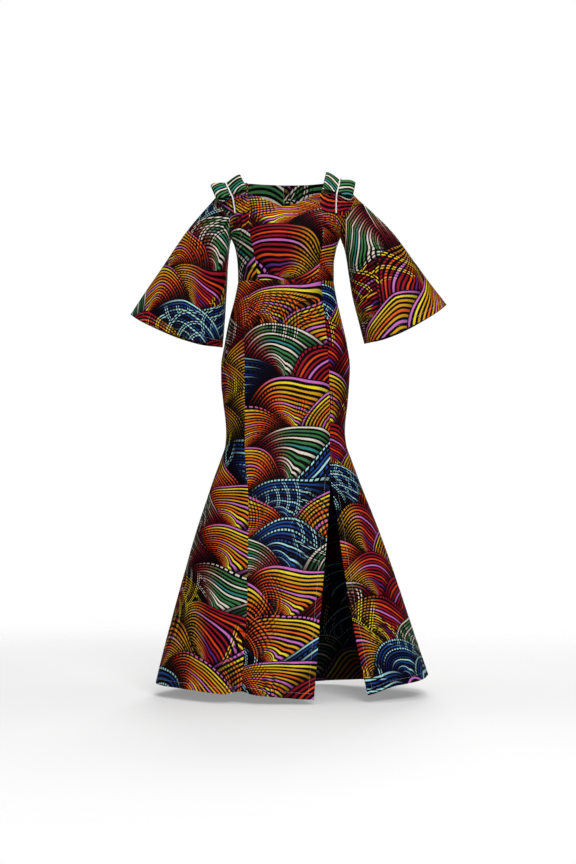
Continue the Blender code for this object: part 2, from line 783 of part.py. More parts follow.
def sleeve_ring(along, place, side):
    """The bell sleeve's ring at a share along it, before it is blended into the armhole."""
    line = profiles(SLEEVE_LEFT if side < 0 else SLEEVE_RIGHT, SLEEVE_COLUMNS)
    outer = np.stack([line["outer_x"](along), 0 * along, line["outer_z"](along)], -1)
    inner = np.stack([line["inner_x"](along), 0 * along, line["inner_z"](along)], -1)
    turn = 2 * math.pi * place
    fold = sum(
        depth * np.exp(-(((place - at) / spread) ** 2)) for at, spread, depth in SLEEVE_FOLDS
    )
    fold = (fold * along**SLEEVE_FOLD_GROWTH)[..., None]
    half = (outer - inner) / 2
    width = np.linalg.norm(half, axis=-1, keepdims=True)
    towards_hem = np.stack([half[..., 2], 0 * along, -half[..., 0]], -1) / width * side
    dip = SLEEVE_HEM_DIP * (along**2 * np.sin(turn) ** 2)[..., None]
    middle = (outer + inner) / 2 + towards_hem * dip
    middle[..., 1] += line["mid_y"](along)
    flat = np.zeros_like(middle)
    flat[..., 1] = -1
    depth = line["depth"](along)[..., None]
    across = half / width * (width + fold)
    return middle - across * np.cos(turn)[..., None] + flat * (depth + fold) * np.sin(turn)[..., None]


def sleeve_surface(along, place, side):
    away = np.array([SLEEVE_OFF_X * side, 0, SLEEVE_OFF_Z]) * (SEAM_GAP / MM)
    start = armhole(place % 1, side) + away - sleeve_ring(0 * along, place, side)
    fade = 1 - ease(along / SLEEVE_BLEND)
    return sleeve_ring(along, place, side) + start * fade[..., None]


def cut_edge(grid, column, towards):
    """Moves one column of a grid half a seam gap along the cloth towards another."""
    away = unit(grid[:, towards] - grid[:, column])
    grid[:, column] = grid[:, column] + away * (SEAM_GAP / MM / 2)


def make_sleeves():
    """Each sleeve is a front and a back, joined along its top and under the arm."""
    for side in (-1, 1):
        along, place = np.meshgrid(
            np.linspace(0, 1, SLEEVE_ROWS + 1), sleeve_places(), indexing="ij"
        )
        outer = sleeve_surface(along, place, side)
        inside = np.clip(along, EDGE_INSET, 1)
        normals = surface_normal(
            lambda s, w: sleeve_surface(s, w, side), inside, place, SHARE_STEP
        ) * side
        over = band_share(place[0])
        shared = band_normal(over, np.ones_like(over), side)
        for end in (0, -1):
            at_corner = over == (0 if end == 0 else 1)
            shared[at_corner] = body_normal_near(armhole(place[0], side))[at_corner]
        from_armpit = 0.5 - np.abs(place[0] - 0.5)
        weight = ease((from_armpit - SHARED_START) / SHARED_RISE)[:, None]
        normals[0] = unit(shared * weight + normals[0] * (1 - weight))
        top = len(over) // 2
        halves = {"front": list(range(top + 1)), "back": list(range(top, len(over))) + [0]}
        for half, columns in halves.items():
            points = outer[:, columns]
            cut_edge(points, 0, 1)
            cut_edge(points, -1, -2)
            name = "sleeve_" + half + "_" + side_name(side)
            wall(name, points, normals[:, columns], PRINT_GREEN)


def knot_frame(side):
    """The knot's middle, its direction up along the cord, and the direction it faces."""
    middle = np.array(KNOTS[side], float)
    up = unit(np.array(KNOT_UP[side]))
    facing = unit(np.cross(np.array([1.0, 0, 0]), up))
    return middle, up, facing


def cord_route(side):
    """Points of the cinch cord: up from the front seam, over the bow and down the back."""
    middle, up, facing = knot_frame(side)

    def over_band(along, across):
        out = CORD_RADIUS / MM + CORD_CLEARANCE
        return band_surface(along, across, side) + band_normal(along, across, side) * out

    off = WING_ROOT_GAP + CORD_RADIUS / MM + CORD_SETTLE
    shares = np.linspace(-1, 1, 5)[:, None]
    over_knot = middle + facing * off + up * KNOT_HALF * shares
    back = np.linspace(CORD_BACK_START, CORD_BACK_END, CORD_BACK_POINTS)
    down_back = over_band(back, np.full_like(back, CORD_BACK_ACROSS))
    return np.concatenate([over_band(*np.array(CORD_FRONT).T), over_knot, down_back])


def evenly(points, steps):
    """Points at even distances on a smooth curve through the given ones."""
    run = np.concatenate([[0], np.cumsum(np.linalg.norm(np.diff(points, axis=0), axis=1))])
    where = np.linspace(0, run[-1], steps + 1)
    return np.stack([curve_through(run, points[:, axis])(where) for axis in range(3)], -1)


def make_cords():
    for side in (-1, 1):
        name = "cinch_cord_" + side_name(side)
        line = bpy.data.curves.new(name, "CURVE")
        line.dimensions = "3D"
        spline = line.splines.new("POLY")
        spline.points.add(CORD_STEPS)
        points = evenly(cord_route(side), CORD_STEPS) * MM
        for knot, point in zip(spline.points, points, strict=True):
            knot.co = (*point, 1)
        line.bevel_depth = CORD_RADIUS
        line.bevel_resolution = 2
        line.use_fill_caps = True
        line.materials.append(finish(name, CORD_WHITE, 0.6))
        bpy.context.scene.collection.objects.link(bpy.data.objects.new(name, line))


def wing_surface(turn, up_share, wing):
    """A bow wing's outer face: from the knot out to the tip (turn at pi/2) and back."""
    name, side, x, y, z, root_half, tip_half, bulge = wing
    middle, up, facing = knot_frame(side)
    reach = np.array([x, y, z], float)
    out = np.sin(turn)[..., None]
    half = (root_half + (tip_half - root_half) * out[..., 0]) * up_share
    stand = WING_ROOT_GAP * np.cos(turn) + bulge * np.sin(2 * turn)
    root = middle + unit(reach) * WING_ROOT_OUT
    return root + reach * out + facing * stand[..., None] + up * half[..., None]


def make_bows():
    for wing in WINGS:
        turn, up_share = np.meshgrid(
            np.linspace(0, math.pi, WING_STEPS + 1), np.linspace(-1, 1, WING_ROWS + 1), indexing="ij"
        )
        normals = surface_normal(lambda a, b: wing_surface(a, b, wing), turn, up_share, SHARE_STEP)
        facing = knot_frame(wing[1])[2]
        normals = normals * math.copysign(1, np.dot(normals[0, 0], facing))
        wall(wing[0], wing_surface(turn, up_share, wing), normals, PRINT_GREEN, BOW_CLOTH)


def main():
    for old in list(bpy.context.scene.objects):
        bpy.data.objects.remove(old)
    make_skirt()
    make_bodice_front()
    make_bodice_back()
    make_bands()
    make_sleeves()
    make_cords()
    make_bows()


main()
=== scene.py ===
import functools
import math

import bmesh
import bpy
import mathutils
import numpy as np
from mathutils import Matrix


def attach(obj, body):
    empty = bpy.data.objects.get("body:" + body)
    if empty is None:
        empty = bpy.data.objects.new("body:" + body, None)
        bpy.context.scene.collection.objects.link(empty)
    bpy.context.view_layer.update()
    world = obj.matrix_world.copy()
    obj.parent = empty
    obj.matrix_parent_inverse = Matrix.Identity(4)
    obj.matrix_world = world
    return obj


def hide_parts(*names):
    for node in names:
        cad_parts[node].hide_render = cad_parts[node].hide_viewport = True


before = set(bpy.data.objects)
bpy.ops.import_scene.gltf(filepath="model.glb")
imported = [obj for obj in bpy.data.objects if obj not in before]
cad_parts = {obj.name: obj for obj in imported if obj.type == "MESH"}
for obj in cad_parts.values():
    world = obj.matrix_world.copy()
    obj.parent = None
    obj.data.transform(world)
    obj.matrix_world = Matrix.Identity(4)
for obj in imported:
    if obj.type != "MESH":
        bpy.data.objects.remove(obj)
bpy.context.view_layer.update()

bl_info = {
    "name": "Wax print dress",
    "version": (1, 0, 0),
    "blender": (4, 5, 0),
    "location": "View3D > Sidebar > Wax dress",
    "description": "Builds the cloth, bows, cords and stitching of a worn wax print dress",
    "category": "Object",
}

MM = 0.001

# Heights in mm of the waist seam, the shoulder bands' lower seams, the armpits and the hem.
WAIST_Z = -253
BAND_SEAM_Z = -66
ARMPIT_Z = -133
HEM_Z = -1365
CENTRE_BACK_X = -6
SEAM_GAP = 0.12

# The body's sections. All but "square" are in mm: x of each side, y of front and back.
# "square" is the exponent of the rounded section: 2 is an ellipse and more is squarer.
BODY_COLUMNS = ("z", "left", "right", "front", "back", "square")
BODY_SECTIONS = (
    (30, -184, 184, -50, 77, 2.3),
    (-15, -182, 182, -72, 86, 2.3),
    (-57, -178, 178, -97, 94, 2.3),
    (-90, -168, 168, -114, 98, 2.3),
    (-115, -158, 157, -121, 99, 2.3),
    (-133, -151, 149, -120, 98, 2.3),
    (-150, -143, 142, -115, 96, 2.3),
    (-168, -138, 137, -109, 93, 2.3),
    (-205, -133, 132, -101, 87, 2.3),
    (-245, -132, 132, -97, 82, 2.3),
    (-290, -139, 138, -100, 88, 2.3),
    (-350, -154, 151, -106, 102, 2.25),
    (-420, -168, 167, -111, 120, 2.2),
    (-490, -179, 176, -114, 131, 2.2),
    (-535, -178, 174, -115, 132, 2.2),
    (-580, -173, 170, -115, 130, 2.2),
    (-665, -165, 162, -117, 124, 2.2),
    (-700, -167, 166, -120, 126, 2.15),
    (-740, -179, 180, -129, 136, 2.1),
    (-800, -201, 202, -143, 151, 2.05),
    (-950, -250, 261, -175, 182, 2.0),
    (-1100, -293, 315, -203, 209, 2.0),
    (-1250, -333, 367, -227, 232, 2.0),
    (-1400, -369, 420, -247, 251, 2.0),
)

# Soft bust shape of the princess cut: two mounds on the front.
BUST_X = 72
BUST_Z = -114
BUST_RISE = 8
BUST_SPREAD_X = 44
BUST_SPREAD_Z = 40

# Soft folds of the skirt, as bumps (+) and troughs (-) of the wall at the hem.
# Angles are in degrees round from +X; the front is at 270 and the back at 90.
# Columns: angle, spread, depth, top.
SKIRT_FOLDS = (
    (240.5, 5.5, -14, -980), (226, 8, 7, -900), (253, 8, 5, -1010), (204, 9, -8, -860),
    (338, 9, 7, -880), (356, 8, -6, -960), (22, 10, 9, -840), (43, 8, -11, -900),
    (63, 9, 14, -820), (84, 8, -10, -940), (106, 9, 12, -860), (128, 8, -12, -910),
    (151, 10, 9, -850),
)

# Seams and free edges of the front, as x at each height, in mm.
LINE_COLUMNS = ("z", "x")
BODICE_SEAM_LEFT = (
    (-16, -105), (-42, -101), (-66, -100), (-110, -100), (-158, -92), (-198, -83), (-243, -76),
    (-253, -73),
)
BODICE_SEAM_RIGHT = (
    (-16, 93), (-42, 92), (-66, 97), (-110, 102), (-148, 101), (-178, 95), (-206, 92),
    (-253, 83),
)
SKIRT_SEAM_LEFT = (
    (-253, -95), (-364, -109), (-405, -114), (-514, -112), (-695, -112), (-860, -101),
    (-1059, -103), (-1365, -127),
)
SLIT_TOP_Z = -772
SLIT_EDGE_LEFT = (
    (-253, 95), (-430, 112), (-514, 118), (-708, 120), (SLIT_TOP_Z, 120), (-860, 116),
    (-1111, 95), (-1365, 74),
)
SLIT_EDGE_RIGHT = (
    (-253, 95), (-430, 112), (-514, 118), (-708, 120), (SLIT_TOP_Z, 120), (-860, 132),
    (-1111, 168), (-1295, 202), (-1365, 218),
)

# Free edges as height against x (necklines) or against angle (hem).
EDGE_COLUMNS = ("place", "z")
FRONT_NECKLINE = (
    (-110, -16), (-74, -25), (-49, -35), (-22, -47), (-6, -55), (11, -50), (48, -35), (70, -22),
    (100, -15),
)
BACK_NECKLINE = ((-110, 25), (-55, 23), (0, 22), (55, 23), (110, 27))
BACK_SEAM_X = 106
BACK_NECK_END_Z = 26
HEM = (
    (0, -1330), (45, -1368), (90, -1382), (135, -1372), (180, -1353), (215, -1355),
    (233, -1360), (240.5, -1353), (249, -1359), (268, -1367), (288, -1372), (315, -1366),
    (332, -1343), (360, -1330),
)

# The armhole: its lower part lies on the body, from the armpit up to the band's corner.
ARMHOLE_COLUMNS = ("share", "z", "angle")
ARMHOLE_LOWER = (
    (0.0, ARMPIT_Z, 0.0), (0.25, -127, 9.2), (0.5, -114, 16.3), (0.75, -97, 19.4),
    (1.0, -79, 20.0),
)
# Its upper part goes over the shoulder, between the band's two corners.
SHOULDER_COLUMNS = ("share", "x", "y", "z")
ARMHOLE_OVER = (
    (0.17, 170, -50, -62), (0.33, 184, -37, -40), (0.5, 191, 3, -17), (0.67, 184, 40, -40),
    (0.83, 170, 52, -62),
)
# The band's free edge on the neck side, between the front and the back neckline.
NECK_EDGE = (
    (0.25, 107, -38, 4), (0.5, 110, -2, 18), (0.75, 109, 36, 25),
)

# The bell sleeves, as the outer and inner end of each ring and its half depth, in mm.
SLEEVE_COLUMNS = ("share", "outer_x", "outer_z", "inner_x", "inner_z", "depth", "mid_y")
SLEEVE_LEFT = (
    (0.0, -203, -19, -155, -134, 60, 0),
    (0.15, -240, -66, -158, -172, 71, 1),
    (0.35, -290, -137, -160, -226, 86, 3),
    (0.6, -348, -223, -164, -301, 104, 4),
    (0.8, -390, -285, -168, -367, 117, 4),
    (1.0, -428, -342, -174, -432, 128, 4),
)
SLEEVE_RIGHT = (
    (0.0, 199, -15, 153, -134, 60, 0),
    (0.15, 239, -56, 163, -165, 71, 1),
    (0.35, 295, -118, 170, -218, 86, 3),
    (0.6, 352, -195, 182, -290, 104, 4),
    (0.8, 398, -258, 198, -354, 116, 4),
    (1.0, 442, -315, 215, -422, 126, 4),
)
SLEEVE_HEM_DIP = 14
SLEEVE_BLEND = 0.34
# Columns: place, spread, depth. Places run round the ring from the armpit over the front.
SLEEVE_FOLDS = (
    (0.11, 0.05, 6), (0.22, 0.045, -7), (0.33, 0.05, 6), (0.42, 0.04, -4), (0.6, 0.05, 6),
    (0.7, 0.045, -8), (0.81, 0.05, 7), (0.91, 0.04, -5),
)
# The direction, per side, in which a sleeve's first ring stands one seam gap off the armhole.
SLEEVE_OFF_X = 0.9
SLEEVE_OFF_Z = -0.43
# Places round the armhole where the sleeve's edge starts to share the band's slope.
SHARED_START = 0.1
SHARED_RISE = 0.12
ARMHOLE_LOW_SHARE = 0.25
SLEEVE_FOLD_GROWTH = 1.6
# How late down the skirt its rows take up the hem's dips.
HEM_SHARE_POWER = 4

# The bow's wings, each a strip folded at its tip, from the knot in mm. The halves are half
# heights, and "bulge" is how far the strip's two layers stand from its middle.
# Columns: name, side, x, y, z, root_half, tip_half, bulge.
WINGS = (
    ("bow_outer_left", -1, -41, 2, -5, 33, 31, 6),
    ("bow_inner_left", -1, 41, -6.5, 23, 31, 32, 6),
    ("bow_outer_right", 1, 42, 2, -6.5, 32, 32, 6),
    ("bow_inner_right", 1, -40, -5, 18.5, 31, 36, 6),
)
WING_ROOT_OUT = 0.3
WING_ROOT_GAP = 3.4
# How much the lower half of a wing is drawn in at the knot, as a share.
WING_PINCH = 0.34

# Rows and columns of the fine cloth meshes.
BAND_ROWS_FRONT = 24
BAND_ROWS_TOP = 72
BAND_ROWS_BACK = 32
BAND_COLUMNS = 96
BODICE_ROWS_LOW = 36
BODICE_ROWS_ARMHOLE = 22
CENTRE_FRONT_COLUMNS = 56
SIDE_FRONT_COLUMNS = 30
BACK_NECK_COLUMNS = 34
BACK_BAND_COLUMNS = 26
SKIRT_ROWS = 150
SKIRT_FRONT_COLUMNS = 56
SKIRT_SIDE_COLUMNS = 48
SKIRT_BACK_COLUMNS = 72
SLEEVE_ROWS = 70
WING_STEPS = 72
WING_ROWS = 32

# The shoulder band's crown and gathers in mm, how many gathers lie across it, the fine ones as
# a share of the others and how they sway, and how far the band's two ends lie over the body.
BAND_CROWN = 8
BAND_GATHERS = 6
BAND_GATHER_DEPTH = 2.3
FINE_GATHERS = 17
FINE_GATHER = 0.3
FINE_SWAY = 3
FINE_SWAY_RATE = 5
GATHER_PHASE = -0.2 * math.pi
BAND_LIFT_FRONT = 0.1
BAND_LIFT_BACK = 0.1

# The bow's knot on each shoulder, in mm, and the direction of the cinch cord across it.
KNOTS = {-1: (-155.8, -45.3, -7.8), 1: (143.5, -43.8, 0)}
KNOT_UP = {-1: (-0.33, 0.7, 0.75), 1: (0.17, 0.7, 0.75)}
KNOT_HALF = 35
KNOT_POINTS = 5
CORD_RADIUS = 2.1
CORD_CLEARANCE = 0.4
CORD_SETTLE = 1.1
# The cord's places on the band, as shares along and across it.
CORD_FRONT = ((0.02, 0.6), (0.05, 0.585), (0.08, 0.57))
CORD_BACK_ACROSS = 0.6
CORD_BACK_SHARES = np.linspace(0.5, 0.98, 17)

# Steps, in degrees or shares, over which a surface's slope is measured.
BODY_STEP = 0.05
SHARE_STEP = 0.001
BAND_STEP = 0.002
EDGE_INSET = 0.004
SECTION_SAMPLES = 241

# The cinch cord's points, how far its strands lie from its middle as a share of their radius,
# how rough cord and thread are, and how many rows or columns short of the slit's corner and
# top the stitches stop.
CORD_POINTS = 90
STRAND_SPREAD = 1.12
CORD_ROUGHNESS = 0.7
SEWING_ROUGHNESS = 0.8
SLIT_STITCH_COLUMNS = 2
SLIT_STITCH_ROWS = 2

# The studio: a round floor that fades out, lights and camera, in metres.
FLOOR_Z = -1.386
FLOOR_RADIUS = 3.2
FLOOR_SIDES = 96
FLOOR_FADE = (0.9, 2.6)
FLOOR_COVER = 0.75
FLOOR_GRAIN = 0.985
FLOOR_GRAIN_SCALE = 3.0
FLOOR_ROUGHNESS = 0.9
# Columns: name, place, aim, size, watts.
LIGHTS = (
    ("key", (0.9, -4.0, 1.8), (0, 0, -0.25), 2.0, 150),
    ("fill", (-1.6, -4.2, 0.1), (0, 0, -0.6), 2.6, 28),
    ("top", (0, 0.2, 3.0), (0, 0, -0.7), 2.4, 60),
    ("behind", (0.4, 4.6, 0.9), (0, 0, -0.65), 2.2, 130),
)
WORLD_STRENGTH = 0.15
CAMERA_PLACE = (0.0055, -6.0, -0.665)
CAMERA_LENS = 90.9
CAMERA_SENSOR = 36.0


def curve_through(places, values):
    """A smooth function of place through the given values, with no overshoot between them."""
    order = np.argsort(places)
    place = np.asarray(places, float)[order]
    value = np.asarray(values, float)[order]
    step = np.diff(place)
    slope = np.diff(value) / step
    tangent = np.zeros(len(place))
    turns = slope[:-1] * slope[1:] <= 0
    mean = 2 * slope[:-1] * slope[1:] / np.where(turns, 1, slope[:-1] + slope[1:])
    tangent[1:-1] = np.where(turns, 0, mean)
    tangent[0], tangent[-1] = slope[0], slope[-1]

    def at(where):
        where = np.clip(where, place[0], place[-1])
        i = np.clip(np.searchsorted(place, where) - 1, 0, len(step) - 1)
        t = (where - place[i]) / step[i]
        rise = value[i + 1] - value[i]
        start = tangent[i] * step[i]
        end = tangent[i + 1] * step[i]
        cubic = (start + end - 2 * rise) * t + (3 * rise - 2 * start - end)
        return value[i] + start * t + cubic * t * t

    return at


def profiles(rows, columns):
    """One smooth function for each later column of a table, against its first column."""
    table = list(zip(*rows, strict=True))
    named = zip(columns[1:], table[1:], strict=True)
    return {name: curve_through(table[0], column) for name, column in named}


def ease(share):
    """Rises softly from 0 to 1 as share does."""
    share = np.clip(share, 0, 1)
    return share * share * (3 - 2 * share)


BODY = profiles(BODY_SECTIONS, BODY_COLUMNS)
HEM_HEIGHT = profiles(HEM, EDGE_COLUMNS)["z"]
NECK_HEIGHT = profiles(FRONT_NECKLINE, EDGE_COLUMNS)["z"]
BACK_NECK_HEIGHT = profiles(BACK_NECKLINE, EDGE_COLUMNS)["z"]
LOWER_ARMHOLE = profiles(ARMHOLE_LOWER, ARMHOLE_COLUMNS)


def skirt_fold(degrees, z):
    """How far the wall moves out in the skirt's soft folds."""
    out = 0
    for angle, spread, depth, top in SKIRT_FOLDS:
        away = (degrees - angle + 180) % 360 - 180
        grown = ease((top - z) / (top - HEM_Z))
        out = out + depth * grown * np.exp(-((away / spread) ** 2))
    return out


def body_surface(degrees, z):
    """The outer face of the body in mm, at an angle round from +X and a height."""
    angle = np.radians(degrees)
    cos, sin = np.cos(angle), np.sin(angle)
    half_width = np.where(cos < 0, -BODY["left"](z), BODY["right"](z))
    half_depth = np.where(sin < 0, -BODY["front"](z), BODY["back"](z))
    power = BODY["square"](z)
    total = (np.abs(cos) / half_width) ** power + (np.abs(sin) / half_depth) ** power
    reach = total ** (-1 / power) + skirt_fold(degrees, z)
    x, y = reach * cos, reach * sin
    rise = np.exp(-(((np.abs(x) - BUST_X) / BUST_SPREAD_X) ** 2))
    rise = rise * np.exp(-(((z - BUST_Z) / BUST_SPREAD_Z) ** 2))
    y = y - BUST_RISE * rise * np.clip(-sin, 0, 1)
    return np.stack([x, y, z + 0 * x], -1)


def unit(vectors):
    return vectors / np.linalg.norm(vectors, axis=-1, keepdims=True)


def surface_normal(surface, first, second, step):
    """Unit normals of surface(first, second), towards first x second."""
    along = surface(first + step, second) - surface(first - step, second)
    across = surface(first, second + step) - surface(first, second - step)
    return unit(np.cross(along, across))


def body_normal(degrees, z):
    return surface_normal(body_surface, degrees, z, BODY_STEP)


def angle_at(x, z, back=False):
    """The angle of the body's point that has this x, on its front or its back."""
    half_width = np.where(x < 0, -BODY["left"](z), BODY["right"](z))
    half_depth = BODY["back"](z) if back else BODY["front"](z)
    power = BODY["square"](z)
    y = half_depth * (1 - (np.abs(x) / half_width) ** power) ** (1 / power)
    return np.degrees(np.arctan2(y, x)) % 360


def spaced_angles(start, end, z, columns):
    """Angles at even distances along the body's section, half a seam gap inside both ends."""
    dense = np.linspace(start, end, SECTION_SAMPLES)
    points = body_surface(dense, np.full_like(dense, z))
    run = np.concatenate([[0], np.cumsum(np.linalg.norm(np.diff(points, axis=0), axis=1))])
    inset = SEAM_GAP / 2
    return np.interp(np.linspace(inset, run[-1] - inset, columns + 1), run, dense)


def line_angle(rows, back=False):
    """Turns a table of x against height into a function from height to angle."""
    x_at = profiles(rows, LINE_COLUMNS)["x"]
    return lambda z: angle_at(x_at(z), z, back)


def steady(degrees):
    return lambda z: degrees


def centre_back(z):
    return angle_at(np.float64(CENTRE_BACK_X), z, back=True)


def lower_armhole(share, side, back):
    """Angle and height on the body, from the armpit (0) up to the band's corner (1)."""
    away = LOWER_ARMHOLE["angle"](share) * (-1 if back else 1)
    degrees = 180 + away if side < 0 else 360 - away
    return degrees, LOWER_ARMHOLE["z"](share)


def bodice_heights():
    """Heights of the bodice's rows at a princess seam, from the waist to the band's seam."""
    low = np.linspace(WAIST_Z, ARMPIT_Z, BODICE_ROWS_LOW + 1)
    shares = np.linspace(0, 1, BODICE_ROWS_ARMHOLE + 1)[1:]
    high = ARMPIT_Z + (BAND_SEAM_Z - ARMPIT_Z) * shares
    return np.concatenate([low, high])


def bodice_grid(inner_line, side, back, columns):
    """Angles and heights of the part of a bodice panel below the band, inner edge first."""
    degrees, heights = [], []
    side_angle = 180.0 if side < 0 else (0.0 if back else 360.0)
    for row, z in enumerate(bodice_heights()):
        outer, outer_z = side_angle, z
        if row > BODICE_ROWS_LOW:
            share = (row - BODICE_ROWS_LOW) / BODICE_ROWS_ARMHOLE
            outer, outer_z = lower_armhole(share, side, back)
            outer = outer - 360 if back and side > 0 else outer
        inner = inner_line(z)
        row = spaced_angles(inner, outer, (z + outer_z) / 2, columns)
        degrees.append(row)
        heights.append(z + (outer_z - z) * (row - inner) / (outer - inner))
    heights[0] = heights[0] + SEAM_GAP / 2
    heights[-1] = heights[-1] - SEAM_GAP / 2
    return np.array(degrees), np.array(heights)


def neck_end_z():
    return BODICE_SEAM_LEFT[0][0]


def back_seam(side):
    """The line where the shoulder band meets the back, as a function from height to angle."""
    return lambda z: angle_at(np.float64(side * BACK_SEAM_X), z, back=True)


def princess_line(side):
    return line_angle(BODICE_SEAM_LEFT if side < 0 else BODICE_SEAM_RIGHT)


def side_name(side):
    return "left" if side < 0 else "right"


def seam_shift(angle, z):
    """Degrees that stand for half a seam gap on the body."""
    reach = np.linalg.norm(body_surface(angle, z)[..., :2], axis=-1)
    return np.degrees(SEAM_GAP / 2 / reach)


def band_rows():
    """Shares along the band at its rows, from its front seam to its back seam."""
    return np.linspace(0, 1, BAND_ROWS_FRONT + BAND_ROWS_TOP + BAND_ROWS_BACK + 1)


def band_corner(side, back):
    degrees, z = lower_armhole(np.float64(1), side, back)
    return body_surface(degrees, z)


def between(start, rows, end, side):
    """A smooth curve in space from start to end, through a table's rows for one side."""
    rows = [(0, *start)] + [(s, side * x, y, z) for s, x, y, z in rows] + [(1, *end)]
    line = profiles(rows, SHOULDER_COLUMNS)
    return lambda share: np.stack([line[axis](share) for axis in "xyz"], -1)


def over_armhole(share, side):
    """The armhole's upper part, from the band's front corner (0) to its back corner (1)."""
    front, back = band_corner(side, False), band_corner(side, True)
    return between(front, ARMHOLE_OVER, back, side)(share)


def band_seam_angle(z, side, back):
    """The angle of the band's edge beside its front or back seam, half a seam gap inside."""
    angle = (back_seam(side) if back else princess_line(side))(z)
    return angle + (-side if back else side) * seam_shift(angle, z)


def neck_corner(side, back):
    """Where the band's free edge starts and ends."""
    z = np.float64(BACK_NECK_END_Z if back else neck_end_z())
    return body_surface(band_seam_angle(z, side, back), z)


def band_neck_side(share, side):
    """The band's edge beside the front seam, the neck opening and the back seam."""
    total = BAND_ROWS_FRONT + BAND_ROWS_TOP + BAND_ROWS_BACK
    front_end, back_start = BAND_ROWS_FRONT / total, 1 - BAND_ROWS_BACK / total
    front_z = BAND_SEAM_Z + (neck_end_z() - BAND_SEAM_Z) * np.clip(share / front_end, 0, 1)
    front = body_surface(band_seam_angle(front_z, side, False), front_z)
    back_share = np.clip((1 - share) / (1 - back_start), 0, 1)
    back_z = BAND_SEAM_Z + (BACK_NECK_END_Z - BAND_SEAM_Z) * back_share
    back = body_surface(band_seam_angle(back_z, side, True), back_z)
    neck = between(neck_corner(side, False), NECK_EDGE, neck_corner(side, True), side)
    free = neck(np.clip((share - front_end) / (back_start - front_end), 0, 1))
    share = np.asarray(share)[..., None]
    return np.where(share <= front_end, front, np.where(share >= back_start, back, free))


def band_seam(share, side, back):
    """The band's edge above a side front (or a back), from the neck side to the sleeve side."""
    start = band_seam_angle(np.float64(BAND_SEAM_Z), side, back)
    end, end_z = lower_armhole(np.float64(1), side, back)
    if back and side > 0:
        end = end - 360
    z = BAND_SEAM_Z + (end_z - BAND_SEAM_Z) * share
    return body_surface(start + (end - start) * share, z)


def band_base(along, across, side):
    """The band's smooth form between its four edges, before crown and gathers."""
    neck, sleeve = band_neck_side(along, side), over_armhole(along, side)
    front, back = band_seam(across, side, False), band_seam(across, side, True)
    s, t = np.asarray(along)[..., None], np.asarray(across)[..., None]
    corners = (1 - s) * ((1 - t) * band_seam(0.0, side, False) + t * band_corner(side, False))
    corners = corners + s * ((1 - t) * band_seam(0.0, side, True) + t * band_corner(side, True))
    return (1 - t) * neck + t * sleeve + (1 - s) * front + s * back - corners


def band_surface(along, across, side):
    """The shoulder band's outer face, crowned and gathered under the cinch cord."""
    inside = np.clip(along, 0, 1)
    normal = surface_normal(lambda s, t: band_base(s, t, side), inside, across, SHARE_STEP) * -side
    crown = BAND_CROWN * 4 * across * (1 - across) * np.sin(math.pi * inside) ** 2
    gather = np.cos(2 * math.pi * BAND_GATHERS * across + GATHER_PHASE)
    sway = FINE_SWAY * np.sin(FINE_SWAY_RATE * along)
    gather = gather + FINE_GATHER * np.cos(2 * math.pi * FINE_GATHERS * across + sway)
    held = np.sin(math.pi * np.clip(across, 0, 1)) ** 0.5 * np.sin(math.pi * inside)
    out = crown + BAND_GATHER_DEPTH * gather * held
    return band_base(along, across, side) + normal * out[..., None]


def band_normal(along, across, side):
    """The band's normals, which are the body's own along its seams with the body."""
    inside = np.clip(along, EDGE_INSET, 1 - EDGE_INSET)
    within = np.clip(across, EDGE_INSET, 1 - EDGE_INSET)
    return surface_normal(lambda s, t: band_surface(s, t, side), inside, within, BAND_STEP) * -side


def body_normal_near(points):
    """The body's normals at points that lie on it."""
    degrees = np.degrees(np.arctan2(points[..., 1], points[..., 0])) % 360
    return body_normal(degrees, points[..., 2])


def sleeve_places():
    """Places round the armhole at the sleeve's columns: 0 at the armpit, 0.5 on top."""
    low = np.linspace(0, ARMHOLE_LOW_SHARE, BODICE_ROWS_ARMHOLE + 1)
    over = ARMHOLE_LOW_SHARE + (1 - 2 * ARMHOLE_LOW_SHARE) * band_rows()
    return np.concatenate([low[:-1], over, 1 - low[1:-1][::-1]])


def band_share(place):
    """Share along the band's sleeve edge at a place round the armhole."""
    return np.clip((place - ARMHOLE_LOW_SHARE) / (1 - 2 * ARMHOLE_LOW_SHARE), 0, 1)


def armhole(place, side):
    """The whole armhole: up the front from the armpit (0), over the top (0.5), down the back."""
    low = ARMHOLE_LOW_SHARE
    front = np.clip(place / low, 0, 1)
    back = np.clip((1 - place) / low, 0, 1)
    low_front = body_surface(*lower_armhole(front, side, False))
    low_back = body_surface(*lower_armhole(back, side, True))
    over = over_armhole(band_share(place), side)
    place = np.asarray(place)[..., None]
    return np.where(place < low, low_front, np.where(place > 1 - low, low_back, over))


def sleeve_ring(along, place, side):
    """The bell sleeve's ring at a share along it, before it is blended into the armhole."""
    line = profiles(SLEEVE_LEFT if side < 0 else SLEEVE_RIGHT, SLEEVE_COLUMNS)
    outer = np.stack([line["outer_x"](along), 0 * along, line["outer_z"](along)], -1)
    inner = np.stack([line["inner_x"](along), 0 * along, line["inner_z"](along)], -1)
    turn = 2 * math.pi * place
    fold = sum(
        depth * np.exp(-(((place - at) / spread) ** 2)) for at, spread, depth in SLEEVE_FOLDS
    )
    fold = (fold * along**SLEEVE_FOLD_GROWTH)[..., None]
    half = (outer - inner) / 2
    width = np.linalg.norm(half, axis=-1, keepdims=True)
    towards_hem = np.stack([half[..., 2], 0 * along, -half[..., 0]], -1) / width * side
    dip = SLEEVE_HEM_DIP * (along**2 * np.sin(turn) ** 2)[..., None]
    middle = (outer + inner) / 2 + towards_hem * dip
    middle[..., 1] += line["mid_y"](along)
    flat = np.zeros_like(middle)
    flat[..., 1] = -1
    depth = line["depth"](along)[..., None]
    across = half / width * (width + fold) * np.cos(turn)[..., None]
    return middle - across + flat * (depth + fold) * np.sin(turn)[..., None]


